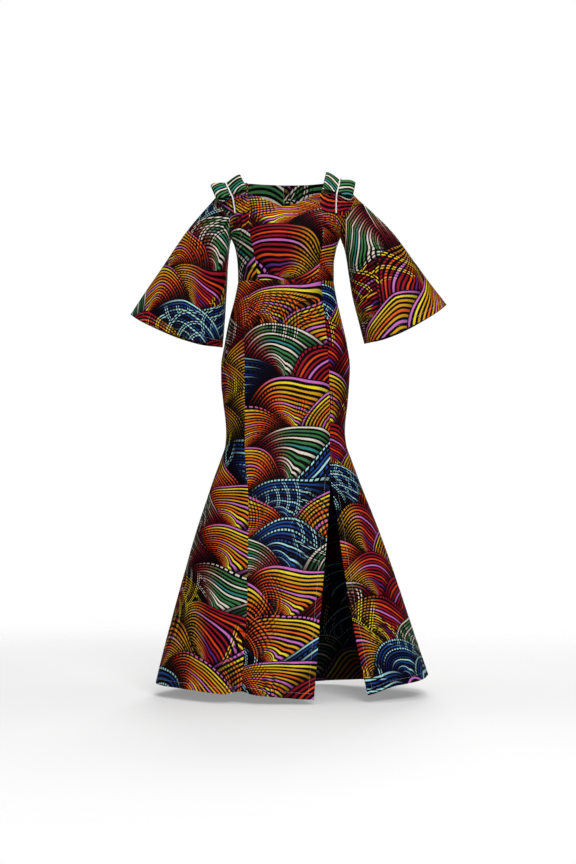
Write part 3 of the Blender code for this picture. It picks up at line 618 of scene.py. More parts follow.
def sleeve_surface(along, place, side):
    away = np.array([SLEEVE_OFF_X * side, 0, SLEEVE_OFF_Z]) * SEAM_GAP
    start = armhole(place % 1, side) + away - sleeve_ring(0 * along, place, side)
    fade = 1 - ease(along / SLEEVE_BLEND)
    return sleeve_ring(along, place, side) + start * fade[..., None]


def knot_frame(side):
    """The knot's middle, its direction up along the cord, and the direction it faces."""
    middle = np.array(KNOTS[side], float)
    up = unit(np.array(KNOT_UP[side]))
    facing = unit(np.cross(np.array([1.0, 0, 0]), up))
    return middle, up, facing


def cord_route(side):
    """Points of the cinch cord: up from the front seam, over the bow and down the back."""
    middle, up, facing = knot_frame(side)

    def over_band(along, across):
        out = CORD_RADIUS + CORD_CLEARANCE
        return band_surface(along, across, side) + band_normal(along, across, side) * out

    off = WING_ROOT_GAP + CORD_RADIUS + CORD_SETTLE
    shares = np.linspace(-1, 1, KNOT_POINTS)[:, None]
    over_knot = middle + facing * off + up * KNOT_HALF * shares
    down_back = over_band(CORD_BACK_SHARES, np.full_like(CORD_BACK_SHARES, CORD_BACK_ACROSS))
    return np.concatenate([over_band(*np.array(CORD_FRONT).T), over_knot, down_back])


def evenly(points, steps):
    """Points at even distances on a smooth curve through the given ones."""
    run = np.concatenate([[0], np.cumsum(np.linalg.norm(np.diff(points, axis=0), axis=1))])
    where = np.linspace(0, run[-1], steps + 1)
    return np.stack([curve_through(run, points[:, axis])(where) for axis in range(3)], -1)


def wing_surface(turn, up_share, wing):
    """A bow wing's outer face: from the knot out to the tip (turn at pi/2) and back."""
    side, x, y, z, root_half, tip_half, bulge = wing[1:]
    middle, up, facing = knot_frame(side)
    reach = np.array([x, y, z], float)
    out = np.sin(turn)[..., None]
    half = (root_half + (tip_half - root_half) * out[..., 0]) * up_share
    half = half * (1 - WING_PINCH * (up_share < 0) * (1 - out[..., 0]) ** 2)
    stand = WING_ROOT_GAP * np.cos(turn) + bulge * np.sin(2 * turn)
    root = middle + unit(reach) * WING_ROOT_OUT
    return root + reach * out + facing * stand[..., None] + up * half[..., None]


# ---------------------------------------------------------------- cloth pieces

# How a sewn edge dips and puckers and how a hem turns, all in mm.
SEAM_DIP = 0.7
SEAM_DIP_REACH = 2.6
PUCKER_DEPTH = 0.22
PUCKER_REACH = 9
PUCKER_LENGTH = 11
PUCKER_SWAY, PUCKER_SWAY_LENGTH = 1.8, 37
PUCKER_LEAST, PUCKER_SWELL, PUCKER_SWELL_LENGTH = 0.6, 0.4, 61
HEM_STITCH_IN = 16
HEM_GROOVE = 0.35
HEM_GROOVE_REACH = 1.6
HEM_PLY = 0.6
SOFT_DEPTH = 0.5
# Slow waves, per 100 mm: rates in x and z and times the seed of the first factor, rates in y
# and z and times the seed of the second, and weight.
SOFT_WAVES = ((3.1, 1.7, 1, 2.3, -1.1, 2, 1), (7.3, -4.1, 3, 6.1, 5.3, 1, 0.45))
# A crease is this share of its half width at its ends and swells towards its middle; its
# depth starts and ends at a small share and grows with this power.
CREASE_NARROW, CREASE_SWELL = 0.75, 0.5
CREASE_START, CREASE_SPAN, CREASE_POWER = 0.08, 0.84, 1.2
# How far the stitches' middles stand out of the cloth, in mm.
STITCH_LIFT = 0.25
SHARP_DEGREES = 60
# A piece's seed for its puckers and waves comes from its name and is below this.
SEEDS = 17
# How far below the waist the slit's edge starts to be hemmed, just under the slit's top.
SLIT_START = WAIST_Z - SLIT_TOP_Z + 6
WING_PLEAT = 1.1
WING_PLEATS = 3.5
WING_PLEAT_FADE = 6

# How much painted shade darkens the inner faces of each group of cloth: 1 is as dark as inside the
# skirt.
INSIDE_PAINTED_SHADE = {"skirt": 1.0, "bodice": 0.25, "shoulder": 0.5, "sleeve": 0.8, "bow": 0.2}

# Soft creases pressed in by wear, by piece: across and along at both ends as shares of the
# piece, then half width and depth in mm. Minus is a trough.
CREASES = {
    "bodice_centre_front": (
        (0.04, 0.30, 0.30, 0.37, 9, -1.3), (0.96, 0.33, 0.72, 0.42, 9, -1.2),
        (0.02, 0.06, 0.33, 0.10, 8, -1.2), (0.98, 0.05, 0.62, 0.11, 8, -1.1),
        (0.36, 0.95, 0.47, 0.70, 10, -1.0), (0.63, 0.95, 0.55, 0.72, 10, -1.0),
    ),
    "bodice_side_front_left": (
        (0.24, 0.02, 0.10, 0.27, 5, -3.2), (0.33, 0.02, 0.20, 0.31, 5, 2.8),
        (0.43, 0.02, 0.33, 0.34, 5, -3.6), (0.53, 0.02, 0.46, 0.31, 5, 2.8),
        (0.63, 0.02, 0.60, 0.27, 5, -3.2), (0.80, 0.03, 0.80, 0.20, 6, -1.8),
        (0.10, 0.60, 0.85, 0.78, 9, -1.4),
    ),
    "bodice_side_front_right": (
        (0.20, 0.02, 0.08, 0.22, 5, -3.0), (0.30, 0.02, 0.20, 0.28, 5, 2.6),
        (0.41, 0.02, 0.33, 0.30, 5, -3.4), (0.52, 0.02, 0.47, 0.27, 5, 2.6),
        (0.63, 0.02, 0.62, 0.24, 5, -3.0), (0.80, 0.03, 0.82, 0.18, 6, -1.7),
        (0.10, 0.58, 0.85, 0.77, 9, -1.4),
    ),
    "bodice_back_left": (
        (0.10, 0.10, 0.75, 0.16, 10, -1.5), (0.05, 0.26, 0.60, 0.20, 12, 1.1),
        (0.90, 0.35, 0.55, 0.55, 12, -1.6),
    ),
    "bodice_back_right": (
        (0.08, 0.13, 0.80, 0.09, 10, -1.5), (0.04, 0.22, 0.55, 0.28, 12, 1.0),
        (0.92, 0.38, 0.58, 0.52, 12, -1.5),
    ),
    "skirt_centre_front": (
        (0.02, 0.05, 0.45, 0.10, 12, -1.6), (0.98, 0.07, 0.60, 0.11, 12, -1.4),
        (0.05, 0.36, 0.55, 0.40, 14, -1.8), (0.97, 0.39, 0.48, 0.43, 13, -1.6),
        (0.30, 0.62, 0.22, 0.98, 24, -3.0), (0.66, 0.60, 0.72, 0.98, 26, 2.6),
    ),
    "skirt_side_front_left": (
        (0.10, 0.07, 0.95, 0.12, 12, -1.8), (0.15, 0.34, 0.95, 0.40, 14, -2.2),
        (0.45, 0.55, 0.40, 0.95, 22, -2.8),
    ),
    "skirt_side_front_right": (
        (0.05, 0.08, 0.90, 0.05, 12, -1.7), (0.05, 0.41, 0.90, 0.34, 14, -2.2),
        (0.55, 0.56, 0.62, 0.97, 24, -3.0),
    ),
    "skirt_back_left": (
        (0.05, 0.08, 0.70, 0.14, 14, -2.4), (0.10, 0.17, 0.60, 0.12, 12, 1.4),
        (0.02, 0.38, 0.65, 0.43, 16, -2.8), (0.20, 0.47, 0.90, 0.41, 15, -2.0),
        (0.30, 0.60, 0.26, 0.97, 24, 3.0),
    ),
    "skirt_back_right": (
        (0.95, 0.09, 0.35, 0.15, 14, -2.2), (0.90, 0.18, 0.45, 0.11, 12, 1.3),
        (0.98, 0.41, 0.30, 0.37, 16, -2.6), (0.80, 0.46, 0.15, 0.43, 15, -2.0),
        (0.66, 0.60, 0.72, 0.97, 24, 3.0),
    ),
    "sleeve_front_left": (
        (0.40, 0.05, 0.52, 0.62, 12, -2.4), (0.66, 0.02, 0.72, 0.45, 10, -1.8),
        (0.18, 0.10, 0.32, 0.55, 12, 1.8),
    ),
    "sleeve_back_left": (
        (0.24, 0.03, 0.32, 0.50, 11, -2.0), (0.60, 0.06, 0.54, 0.60, 12, -2.4),
        (0.84, 0.12, 0.76, 0.55, 12, 1.6),
    ),
    "sleeve_front_right": (
        (0.42, 0.06, 0.54, 0.58, 12, -2.2), (0.68, 0.02, 0.76, 0.48, 10, -1.8),
        (0.16, 0.12, 0.30, 0.52, 12, 1.8),
    ),
    "sleeve_back_right": (
        (0.26, 0.03, 0.34, 0.52, 11, -2.0), (0.58, 0.05, 0.52, 0.62, 12, -2.4),
        (0.82, 0.10, 0.74, 0.50, 12, 1.6),
    ),
}

# Material slot names for the pieces that do not share their group's; nothing in the script gives
# them out.
OWN_SLOTS = {"skirt_centre_front": "gold_print", "bodice_centre_front": "gold_print"}
OWN_SLOTS |= {"skirt_back_left": "navy_print", "skirt_back_right": "navy_print"}
OWN_SLOTS |= {"bodice_back_left": "green_print", "bodice_back_right": "green_print"}

# Where each piece is cut from the printed cloth: across and along in mm, and degrees of turn.
CUTS = {
    "skirt_centre_front": (0, 0, 0),
    "skirt_side_front_left": (-430, 150, 4),
    "skirt_side_front_right": (390, 120, -4),
    "skirt_back_left": (-900, -60, 0),
    "skirt_back_right": (900, 40, 0),
    "bodice_centre_front": (-130, 450, 0),
    "bodice_side_front_left": (-520, 530, 6),
    "bodice_side_front_right": (610, 470, -6),
    "bodice_back_left": (-125, 1060, 0),
    "bodice_back_right": (140, 1100, 0),
    "shoulder_band_left": (-240, 960, 12),
    "shoulder_band_right": (330, 1010, -12),
    "sleeve_front_left": (-1700, 700, 18),
    "sleeve_back_left": (-2150, 640, -8),
    "sleeve_front_right": (2440, 720, -18),
    "sleeve_back_right": (1560, 690, 8),
    "bow_outer_left": (335, 2125, 92),
    "bow_inner_left": (452, 2183, 84),
    "bow_outer_right": (-201, 1925, 88),
    "bow_inner_right": (-517, 2070, 97),
}


def steps_between(points, axis):
    """Running distance in mm along one axis of a grid of points."""
    gaps = np.linalg.norm(np.diff(points, axis=axis), axis=-1)
    start = np.zeros_like(np.take(gaps, [0], axis))
    return np.concatenate([start, np.cumsum(gaps, axis=axis)], axis)


def pucker(place, away, seed):
    """Small waves of cloth beside a line of sewing."""
    sway = PUCKER_SWAY * np.sin(place / PUCKER_SWAY_LENGTH + seed)
    wave = np.sin(2 * math.pi * place / PUCKER_LENGTH + sway)
    slow = PUCKER_LEAST + PUCKER_SWELL * np.sin(place / PUCKER_SWELL_LENGTH + 2 * seed)
    return PUCKER_DEPTH * wave * slow * np.exp(-((away / PUCKER_REACH) ** 2))


def sewn(place, away, seed):
    return pucker(place, away, seed) - SEAM_DIP * np.exp(-((away / SEAM_DIP_REACH) ** 2))


def hemmed(place, away, seed):
    line = away - HEM_STITCH_IN
    return pucker(place, line, seed) - HEM_GROOVE * np.exp(-((line / HEM_GROOVE_REACH) ** 2))


def slit_edge(place, away, seed):
    return np.where(place < SLIT_START, sewn(place, away, seed), hemmed(place, away, seed))


EDGE_FORMS = {"sewn": sewn, "hem": hemmed, "slit": slit_edge}


def creased(name, across, along, wide, long):
    """The soft creases of a piece, in mm out from the cloth."""
    total = np.zeros_like(across)
    for a0, b0, a1, b1, half, depth in CREASES.get(name, ()):
        start = np.array([a0 * wide, b0 * long])
        line = np.array([a1 * wide, b1 * long]) - start
        x, y = across * wide - start[0], along * long - start[1]
        share = (x * line[0] + y * line[1]) / (line @ line)
        held = np.clip(share, 0, 1)
        away = np.hypot(x - held * line[0], y - held * line[1])
        reach = half * (CREASE_NARROW + CREASE_SWELL * np.sin(math.pi * held))
        ends = np.sin(math.pi * (CREASE_START + CREASE_SPAN * held)) ** CREASE_POWER
        total += depth * ends * np.exp(-((away / reach) ** 2))
    return total


def soft_unevenness(points, seed):
    """Slow, shallow waves that keep hanging cloth from looking turned on a lathe."""
    x, y, z = points[..., 0] / 100, points[..., 1] / 100, points[..., 2] / 100
    total = 0
    for ax, az, first, by, bz, second, weight in SOFT_WAVES:
        wave = np.sin(ax * x + az * z + first * seed)
        total = total + weight * wave * np.sin(by * y + bz * z + second * seed)
    return SOFT_DEPTH * total


class Cloth:
    """A grid of outer points of one piece, its normals and what is known about it."""

    def __init__(self, name, outer, normals, edges, cells=None):
        self.name, self.cells = name, cells
        facing = np.cross(np.diff(outer, axis=1)[:-1], np.diff(outer, axis=0)[:, :-1])
        self.flip = (facing * normals[:-1, :-1]).sum() < 0
        across, along = steps_between(outer, 1), steps_between(outer, 0)
        self.wide, self.long = float(across[:, -1].max()), float(along[-1].max())
        middle = across.shape[1] // 2
        # The bodice is laid on the print from the waist up, the other pieces from the top down.
        level = along[-1:] - self.long if name.startswith("bodice") else 0
        self.uv = np.stack([across - across[:, middle : middle + 1], level - along], -1)
        total, length = across[:, -1:], along[-1:]
        seed = sum(map(ord, name)) % SEEDS
        out = soft_unevenness(outer, seed)
        out = out + creased(name, across / total, along / length, self.wide, self.long)
        self.ply = np.zeros(outer.shape[:2])
        sides = {"top": (across, along), "bottom": (across, length - along)}
        sides |= {"start": (along, across), "end": (along, total - across)}
        for side, form in edges.items():
            place, away = sides[side]
            out = out + EDGE_FORMS[form](place, away, seed + len(side))
            if form != "sewn":
                turned = (away < HEM_STITCH_IN) & ((form == "hem") | (place > SLIT_START))
                self.ply = np.maximum(self.ply, HEM_PLY * turned)
        self.outer = outer + normals * out[..., None]
        self.normals = normals
        self.along, self.across, self.length, self.total = along, across, length, total

    def line_in(self, side, away):
        """The points of the cloth at a distance from its bottom, start or end edge."""
        lift = self.outer + self.normals * STITCH_LIFT
        runs, place = self.across, np.full(len(lift), away)
        if side == "end":
            place = self.total[:, 0] - away
        elif side == "bottom":
            lift, runs, place = lift.swapaxes(0, 1), self.along.T, self.length[0] - away
        rows = zip(place, runs, lift, strict=True)
        return np.array([[np.interp(p, run, axis) for axis in line.T] for p, run, line in rows])


def cut_place(name, uv):
    """The piece's own flat place, moved to where it is cut from the printed cloth, in metres."""
    across, along, turn = CUTS[name]
    cos, sin = math.cos(math.radians(turn)), math.sin(math.radians(turn))
    u, v = uv[..., 0], uv[..., 1]
    return np.stack([u * cos - v * sin + across, u * sin + v * cos + along], -1) * MM


def shell(cloth, thickness):
    """A closed shell of thin cloth: outer side, inner side and the turned edges between."""
    rows, columns = cloth.outer.shape[:2]
    ply = thickness / MM + cloth.ply[..., None]
    inner = cloth.outer - cloth.normals * ply
    cells = np.ones((rows - 1, columns - 1), bool) if cloth.cells is None else cloth.cells
    behind = rows * columns

    def corner(i, j):
        return i * columns + j

    i, j = np.nonzero(cells)
    ring = [(i, j), (i, j + 1), (i + 1, j + 1), (i + 1, j)]
    front = np.stack([corner(a, b) for a, b in ring], -1)
    padded = np.pad(cells, 1)
    rim = []
    sides = ((-1, 0, 0, 0, 0, 1), (1, 0, 1, 1, 1, 0), (0, -1, 1, 0, 0, 0), (0, 1, 0, 1, 1, 1))
    for di, dj, ai, aj, bi, bj in sides:
        beside = padded[1 + di : 1 + di + cells.shape[0], 1 + dj : 1 + dj + cells.shape[1]]
        i, j = np.nonzero(cells & ~beside)
        a, b = corner(i + ai, j + aj), corner(i + bi, j + bj)
        rim.append(np.stack([b, a, a + behind, b + behind], -1))
    quads = np.concatenate([front, front[:, ::-1] + behind, *rim])
    if cloth.flip:
        quads = quads[:, ::-1]
    verts = np.concatenate([cloth.outer.reshape(-1, 3), inner.reshape(-1, 3)]) * MM
    used = np.unique(quads)
    place = np.full(len(verts), -1)
    place[used] = np.arange(len(used))
    mesh = bpy.data.meshes.new(cloth.name)
    mesh.from_pydata(verts[used].tolist(), [], place[quads].tolist())
    layer = mesh.uv_layers.new(name="cloth")
    places = cut_place(cloth.name, cloth.uv).reshape(-1, 2)
    layer.data.foreach_set("uv", places[quads.ravel() % behind].ravel())
    # The inner faces get their group's painted shade, which darkens their print in the material.
    within = mesh.attributes.new("inside", "FLOAT", "FACE")
    shade = INSIDE_PAINTED_SHADE[cloth.name.split("_")[0]]
    within.data.foreach_set("value", shade * (np.arange(len(quads)) // len(front) == 1))
    mesh.shade_smooth()
    mesh.set_sharp_from_angle(angle=math.radians(SHARP_DEGREES))
    points = cloth.outer.reshape(-1, 3) * MM
    a, b, c, d = (points[front[:, k]] for k in range(4))
    outer_area = np.linalg.norm(np.cross(c - a, d - b), axis=1).sum() / 2
    return mesh, float(outer_area)


def body_cloth(name, degrees, z, edges, cells=None):
    return Cloth(name, body_surface(degrees, z), body_normal(degrees, z), edges, cells=cells)


def skirt_cloth(name, start_line, end_line, columns, edges):
    """A skirt panel between two lines, each a function from height to angle."""
    rows = np.linspace(WAIST_Z, HEM_Z, SKIRT_ROWS + 1)
    degrees = np.array([spaced_angles(start_line(z), end_line(z), z, columns) for z in rows])
    share = (WAIST_Z - rows) / (WAIST_Z - HEM_Z)
    to_hem = HEM_HEIGHT(degrees % 360) - HEM_Z
    z = rows[:, None] + to_hem * share[:, None] ** HEM_SHARE_POWER
    z[0] -= SEAM_GAP / 2
    return body_cloth(name, degrees, z, {"top": "sewn", "bottom": "hem"} | edges)


@functools.cache
def skirt_pieces():
    seam_left = line_angle(SKIRT_SEAM_LEFT)
    slit_left, slit_right = line_angle(SLIT_EDGE_LEFT), line_angle(SLIT_EDGE_RIGHT)
    both = {"start": "sewn", "end": "sewn"}
    front, side, back = SKIRT_FRONT_COLUMNS, SKIRT_SIDE_COLUMNS, SKIRT_BACK_COLUMNS
    to_slit, from_slit = {"start": "sewn", "end": "slit"}, {"start": "slit", "end": "sewn"}
    return [
        skirt_cloth("skirt_centre_front", seam_left, slit_left, front, to_slit),
        skirt_cloth("skirt_side_front_left", steady(180), seam_left, side, both),
        skirt_cloth("skirt_side_front_right", slit_right, steady(360), side, from_slit),
        skirt_cloth("skirt_back_left", centre_back, steady(180), back, both),
        skirt_cloth("skirt_back_right", steady(0), centre_back, back, both),
    ]


def neck_rows(start, end, top, neckline, columns, rows, corner=True):
    """Angles and heights of a panel's rows between the band's seam and its neckline."""
    degrees, heights = [], []
    for share in np.linspace(0, 1, rows + 1)[1:]:
        edge = BAND_SEAM_Z + (top - BAND_SEAM_Z) * share
        row = spaced_angles(start(edge), end(edge), edge, columns)
        neck = neckline(body_surface(row, np.full_like(row, edge))[:, 0])
        neck = neck + np.linspace(top - neck[0] if corner else 0, top - neck[-1], columns + 1)
        degrees.append(row)
        heights.append(BAND_SEAM_Z + (neck - BAND_SEAM_Z) * share)
    return degrees, heights


@functools.cache
def bodice_pieces():
    all_sewn = dict.fromkeys(("top", "bottom", "start", "end"), "sewn")
    lines = {side: princess_line(side) for side in (-1, 1)}
    made = []
    for side in (-1, 1):
        degrees, z = bodice_grid(lines[side], side, False, SIDE_FRONT_COLUMNS)
        name = "bodice_side_front_" + side_name(side)
        made.append(body_cloth(name, degrees[::-1], z[::-1], all_sewn))
    columns = CENTRE_FRONT_COLUMNS
    degrees = [spaced_angles(lines[-1](z), lines[1](z), z, columns) for z in bodice_heights()]
    z = [np.full(columns + 1, height) for height in bodice_heights()]
    z[0] = z[0] + SEAM_GAP / 2
    neck = (neck_end_z(), NECK_HEIGHT, columns, BAND_ROWS_FRONT)
    high = neck_rows(lines[-1], lines[1], *neck)
    degrees, z = np.array(degrees + high[0])[::-1], np.array(z + high[1])[::-1]
    made.append(body_cloth("bodice_centre_front", degrees, z, all_sewn))
    split = BACK_NECK_COLUMNS
    for side in (-1, 1):
        seam = back_seam(side)
        inner = bodice_grid(seam, side, True, BACK_BAND_COLUMNS)
        centre = [spaced_angles(centre_back(z), seam(z), z, split) for z in bodice_heights()]
        neck = (BACK_NECK_END_Z, BACK_NECK_HEIGHT, split, BAND_ROWS_BACK)
        high = neck_rows(centre_back, seam, *neck, corner=False)
        # Above the band's seam the outer columns repeat, and their cells are left out.
        repeat = np.ones((BAND_ROWS_BACK, 1))
        degrees = np.vstack([inner[0][:, 1:], inner[0][-1, 1:] * repeat])
        degrees = np.hstack([np.array(centre + high[0]), degrees])
        level = [np.full(split + 1, height) for height in bodice_heights()]
        z = np.vstack([inner[1][:, 1:], inner[1][-1, 1:] * repeat])
        z = np.hstack([np.array(level + high[1]), z])
        z[: len(level), split] = inner[1][:, 0]
        cells = np.ones((len(z) - 1, z.shape[1] - 1), bool)
        cells[:BAND_ROWS_BACK, split:] = False
        z[0] = WAIST_Z + SEAM_GAP / 2
        edges = {"bottom": "sewn", "start": "sewn", "end": "sewn"}
        name = "bodice_back_" + side_name(side)
        made.append(body_cloth(name, degrees[::-1], z[::-1], edges, cells))
    return made


@functools.cache
def band_pieces():
    made = []
    for side in (-1, 1):
        across = np.linspace(0, 1, BAND_COLUMNS + 1)
        along, across = np.meshgrid(band_rows(), across, indexing="ij")
        outer = band_surface(along, across, side)
        normals = band_normal(along, across, side)
        for row, lift in ((0, BAND_LIFT_FRONT), (-1, BAND_LIFT_BACK)):
            outer[row, :, 2] += lift
            normals[row] = body_normal_near(outer[row])
        for row in list(range(BAND_ROWS_FRONT + 1)) + list(range(-BAND_ROWS_BACK - 1, 0)):
            normals[row, 0] = body_normal_near(outer[row, 0])
        edges = dict.fromkeys(("top", "bottom", "end"), "sewn")
        made.append(Cloth("shoulder_band_" + side_name(side), outer, normals, edges))
    return made


def cut_edge(grid, column, towards):
    """Moves one column of a grid half a seam gap along the cloth towards another."""
    away = unit(grid[:, towards] - grid[:, column])
    grid[:, column] = grid[:, column] + away * (SEAM_GAP / 2)


@functools.cache
def sleeve_pieces():
    made = []
    for side in (-1, 1):
        rows = np.linspace(0, 1, SLEEVE_ROWS + 1)
        along, place = np.meshgrid(rows, sleeve_places(), indexing="ij")
        outer = sleeve_surface(along, place, side)
        inside = np.clip(along, EDGE_INSET, 1)
        surface = functools.partial(sleeve_surface, side=side)
        normals = surface_normal(surface, inside, place, SHARE_STEP) * side
        over = band_share(place[0])
        shared = band_normal(over, np.ones_like(over), side)
        for end in (0, -1):
            at_corner = over == (0 if end == 0 else 1)
            shared[at_corner] = body_normal_near(armhole(place[0], side))[at_corner]
        from_armpit = 0.5 - np.abs(place[0] - 0.5)
        weight = ease((from_armpit - SHARED_START) / SHARED_RISE)[:, None]
        normals[0] = unit(shared * weight + normals[0] * (1 - weight))
        top = len(over) // 2
        halves = {"front": list(range(top + 1)), "back": list(range(top, len(over))) + [0]}
        edges = dict.fromkeys(("top", "start", "end"), "sewn") | {"bottom": "hem"}
        for half, columns in halves.items():
            points = outer[:, columns]
            cut_edge(points, 0, 1)
            cut_edge(points, -1, -2)
            name = "sleeve_" + half + "_" + side_name(side)
            made.append(Cloth(name, points, normals[:, columns], edges))
    return made


@functools.cache
def bow_pieces():
    made = []
    for wing in WINGS:
        turns, halves = np.linspace(0, math.pi, WING_STEPS + 1), np.linspace(-1, 1, WING_ROWS + 1)
        turn, up_share = np.meshgrid(turns, halves, indexing="ij")
        surface = functools.partial(wing_surface, wing=wing)
        normals = surface_normal(surface, turn, up_share, SHARE_STEP)
        facing = knot_frame(wing[1])[2]
        normals = normals * math.copysign(1, np.dot(normals[0, 0], facing))
        near_root = np.cos(turn) ** 2
        fade = near_root * (1 - near_root**WING_PLEAT_FADE)
        pleat = np.cos(math.pi * WING_PLEATS * up_share + wing[5]) * fade
        outer = wing_surface(turn, up_share, wing) + normals * (WING_PLEAT * pleat)[..., None]
        made.append(Cloth(wing[0], outer, normals, {}))
    return made


# ---------------------------------------------------------------- node boards


def sign(operation, flipped=False):
    """A method that adds one math node, for an arithmetic sign."""
    if flipped:
        return lambda self, other: self.board.math(operation, other, self)
    return lambda self, other: self.board.math(operation, self, other)


class Field:
    """An output socket on a board. Arithmetic with it adds the nodes that work it out."""

    __add__ = __radd__ = sign("ADD")
    __mul__ = __rmul__ = sign("MULTIPLY")
    __sub__, __rsub__ = sign("SUBTRACT"), sign("SUBTRACT", flipped=True)
    __truediv__, __rtruediv__ = sign("DIVIDE"), sign("DIVIDE", flipped=True)
    __mod__, __lt__, __gt__ = sign("FLOORED_MODULO"), sign("LESS_THAN"), sign("GREATER_THAN")

    def __init__(self, board, socket):
        self.board, self.socket = board, socket

    def __abs__(self):
        return self.board.math("ABSOLUTE", self)

    def __getitem__(self, key):
        return Field(self.board, self.socket.node.outputs[key])


class Board:
    """Adds nodes to a tree. A field given to a socket is linked, and a value is set."""

    def __init__(self, tree):
        self.tree = tree

    def add(self, kind, inputs=None, out=0, **settings):
        node = self.tree.nodes.new(kind)
        for key, value in settings.items():
            setattr(node, key, value)
        self.feed(node.inputs, inputs or {})
        return Field(self, node.outputs[out]) if node.outputs else None

    def feed(self, sockets, values):
        for key, value in values.items():
            if isinstance(value, Field):
                self.tree.links.new(value.socket, sockets[key])
            else:
                sockets[key].default_value = value

    def math(self, operation, *values):
        return self.add("ShaderNodeMath", dict(enumerate(values)), operation=operation)

    def vector(self, operation, *values, out=0):
        return self.add("ShaderNodeVectorMath", dict(enumerate(values)), out, operation=operation)

    def scaled(self, vector, factor):
        return self.add("ShaderNodeVectorMath", {0: vector, "Scale": factor}, operation="SCALE")

    def split(self, vector):
        return self.add("ShaderNodeSeparateXYZ", {0: vector})

    def join(self, x, y, z):
        return self.add("ShaderNodeCombineXYZ", {0: x, 1: y, 2: z})

    def noise(self, place, scale, detail, out=0):
        inputs = {"Vector": place, "Scale": scale, "Detail": detail}
        return self.add("ShaderNodeTexNoise", inputs, out)

    def blend(self, factor, a, b, kind="RGBA"):
        first, out = {"FLOAT": (2, 0), "VECTOR": (4, 1), "RGBA": (6, 2)}[kind]
        return self.add("ShaderNodeMix", {0: factor, first: a, first + 1: b}, out, data_type=kind)

    def soft_step(self, value, start, end):
        """Rises softly from 0 at start to 1 at end."""
        inputs = {"Value": value, "From Min": start, "From Max": end}
        return self.add("ShaderNodeMapRange", inputs, interpolation_type="SMOOTHSTEP")

    def ramp(self, factor, colours):
        """Even bands of flat colour."""
        shown = self.add("ShaderNodeValToRGB", {0: factor})
        bands = shown.socket.node.color_ramp
        bands.interpolation = "CONSTANT"
        while len(bands.elements) < len(colours):
            bands.elements.new(0.5)
        for k, colour in enumerate(colours):
            bands.elements[k].position = k / len(colours)
            bands.elements[k].color = solid(colour)
        return shown

    def bump(self, strength, height):
        inputs = {"Strength": strength, "Distance": BUMP_DISTANCE, "Height": height}
        return self.add("ShaderNodeBump", inputs)

    def put_out(self, values):
        self.add("NodeGroupOutput", values)

    def put_out_mesh(self, geometry, material):
        """Makes the geometry real and smooth, gives it its material and puts it out."""
        real = self.add("GeometryNodeRealizeInstances", {"Geometry": geometry})
        smooth = self.add("GeometryNodeSetShadeSmooth", {"Geometry": real})
        painted = {"Geometry": smooth, "Material": material}
        self.put_out({"Geometry": self.add("GeometryNodeSetMaterial", painted)})


def solid(colour):
    return (*colour, 1)


def once(kind):
    """Marks a builder of a named data-block, which is built only the first time."""

    def mark(build):
        def get(name, *given):
            return getattr(bpy.data, kind).get(name) or build(name, *given)

        return get

    return mark


def new_group(name, kind, inputs, outputs):
    """A node group, its board and its inputs, each given by its default or else its type."""
    group = bpy.data.node_groups.new(name, kind)
    for label, given in inputs.items():
        type_name = given if isinstance(given, str) else type(given).__name__.title()
        socket_type = "NodeSocket" + type_name
        socket = group.interface.new_socket(name=label, in_out="INPUT", socket_type=socket_type)
        if type_name != given:
            socket.default_value = given
    for label, type_name in outputs.items():
        socket_type = "NodeSocket" + type_name
        group.interface.new_socket(name=label, in_out="OUTPUT", socket_type=socket_type)
    board = Board(group)
    return group, board, board.add("NodeGroupInput")


# ---------------------------------------------------------------- print and materials

# How the rows of fans sway, how much wider than high a fan is, and the second random draw.
SWAY_SCALE = 3.1
SWAY_GAIN = 4.0
FAN_SQUEEZE = (0.86, 1.0, 0.0)
SECOND_DRAW = (7.3, 2.1, 0)
# Soft ranges along a fan's run, and how much they change: lines come closer by this share of
# their least distance, run into another colour, grow thinner, and sink into the black.
CLOSER_RUN, CLOSER, CLOSER_LEAST = (-0.3, 1.2), 0.6, 0.92
LATE_RUN = (0.05, 0.85)
THIN_RUN, THINNER = (0.3, 1.3), -0.5
SINK_LATE_RUN, SINK_LATE = (0.5, 1.1), 0.95
SINK_EARLY_RUN, SINK_EARLY = (-0.55, -1.15), 0.85
# Half widths of the lines and where hairlines and dashes are, as shares of the line spacing.
SWELL_SCALE, LINE_SWELL, LINE_HALF, LINE_SOFT = 17.0, 0.22, 0.115, 0.04
HAIR_FROM = 0.47
DASH_SHARE = 0.6
DASH_EVERY = 3.0
EDGE_DASH_ABOVE = 0.7
# Each family of fans: where it starts in the random draw, its lines' colours from the rim in,
# and the colour that they run into.
GREEN_FROM, RED_FROM, BLUE_FROM = 0.37, 0.58, 0.87
FAMILIES = (
    (0, "pink yellow gold gold orange gold pink gold orange yellow", "scarlet"),
    (GREEN_FROM, "cream green green cream green teal cream green green cream", "crimson"),
    (RED_FROM, "crimson crimson scarlet crimson pink crimson crimson scarlet crimson plum", "gold"),
    (BLUE_FROM, "ice blue blue ice blue navy blue ice blue navy", "navy"),
)
BANDS = 10.0
# The second set of arcs: its place and turn in radians, its spacing as a share of the first
# set's, the patches it shows in, its dark gaps and its bright lines.
CROSSING_PLACE, CROSSING_TURN, CROSSING_SPACING = (0.31, 0.17, 0), 1.2, 0.8
PATCH_SCALE, PATCH = 6.0, (0.52, 0.58)
GAP, GAP_DARK = (0.24, 0.16), 0.9
BRIGHT, BRIGHT_EVERY, BRIGHT_WITHIN = (0.2, 0.28), 4.0, 0.3
# Fine veins where the wax cracked and let a little dye through.
CRACK_SCALE, CRACK_WIDTH, CRACK_DARK = 42.0, 0.018, 0.2
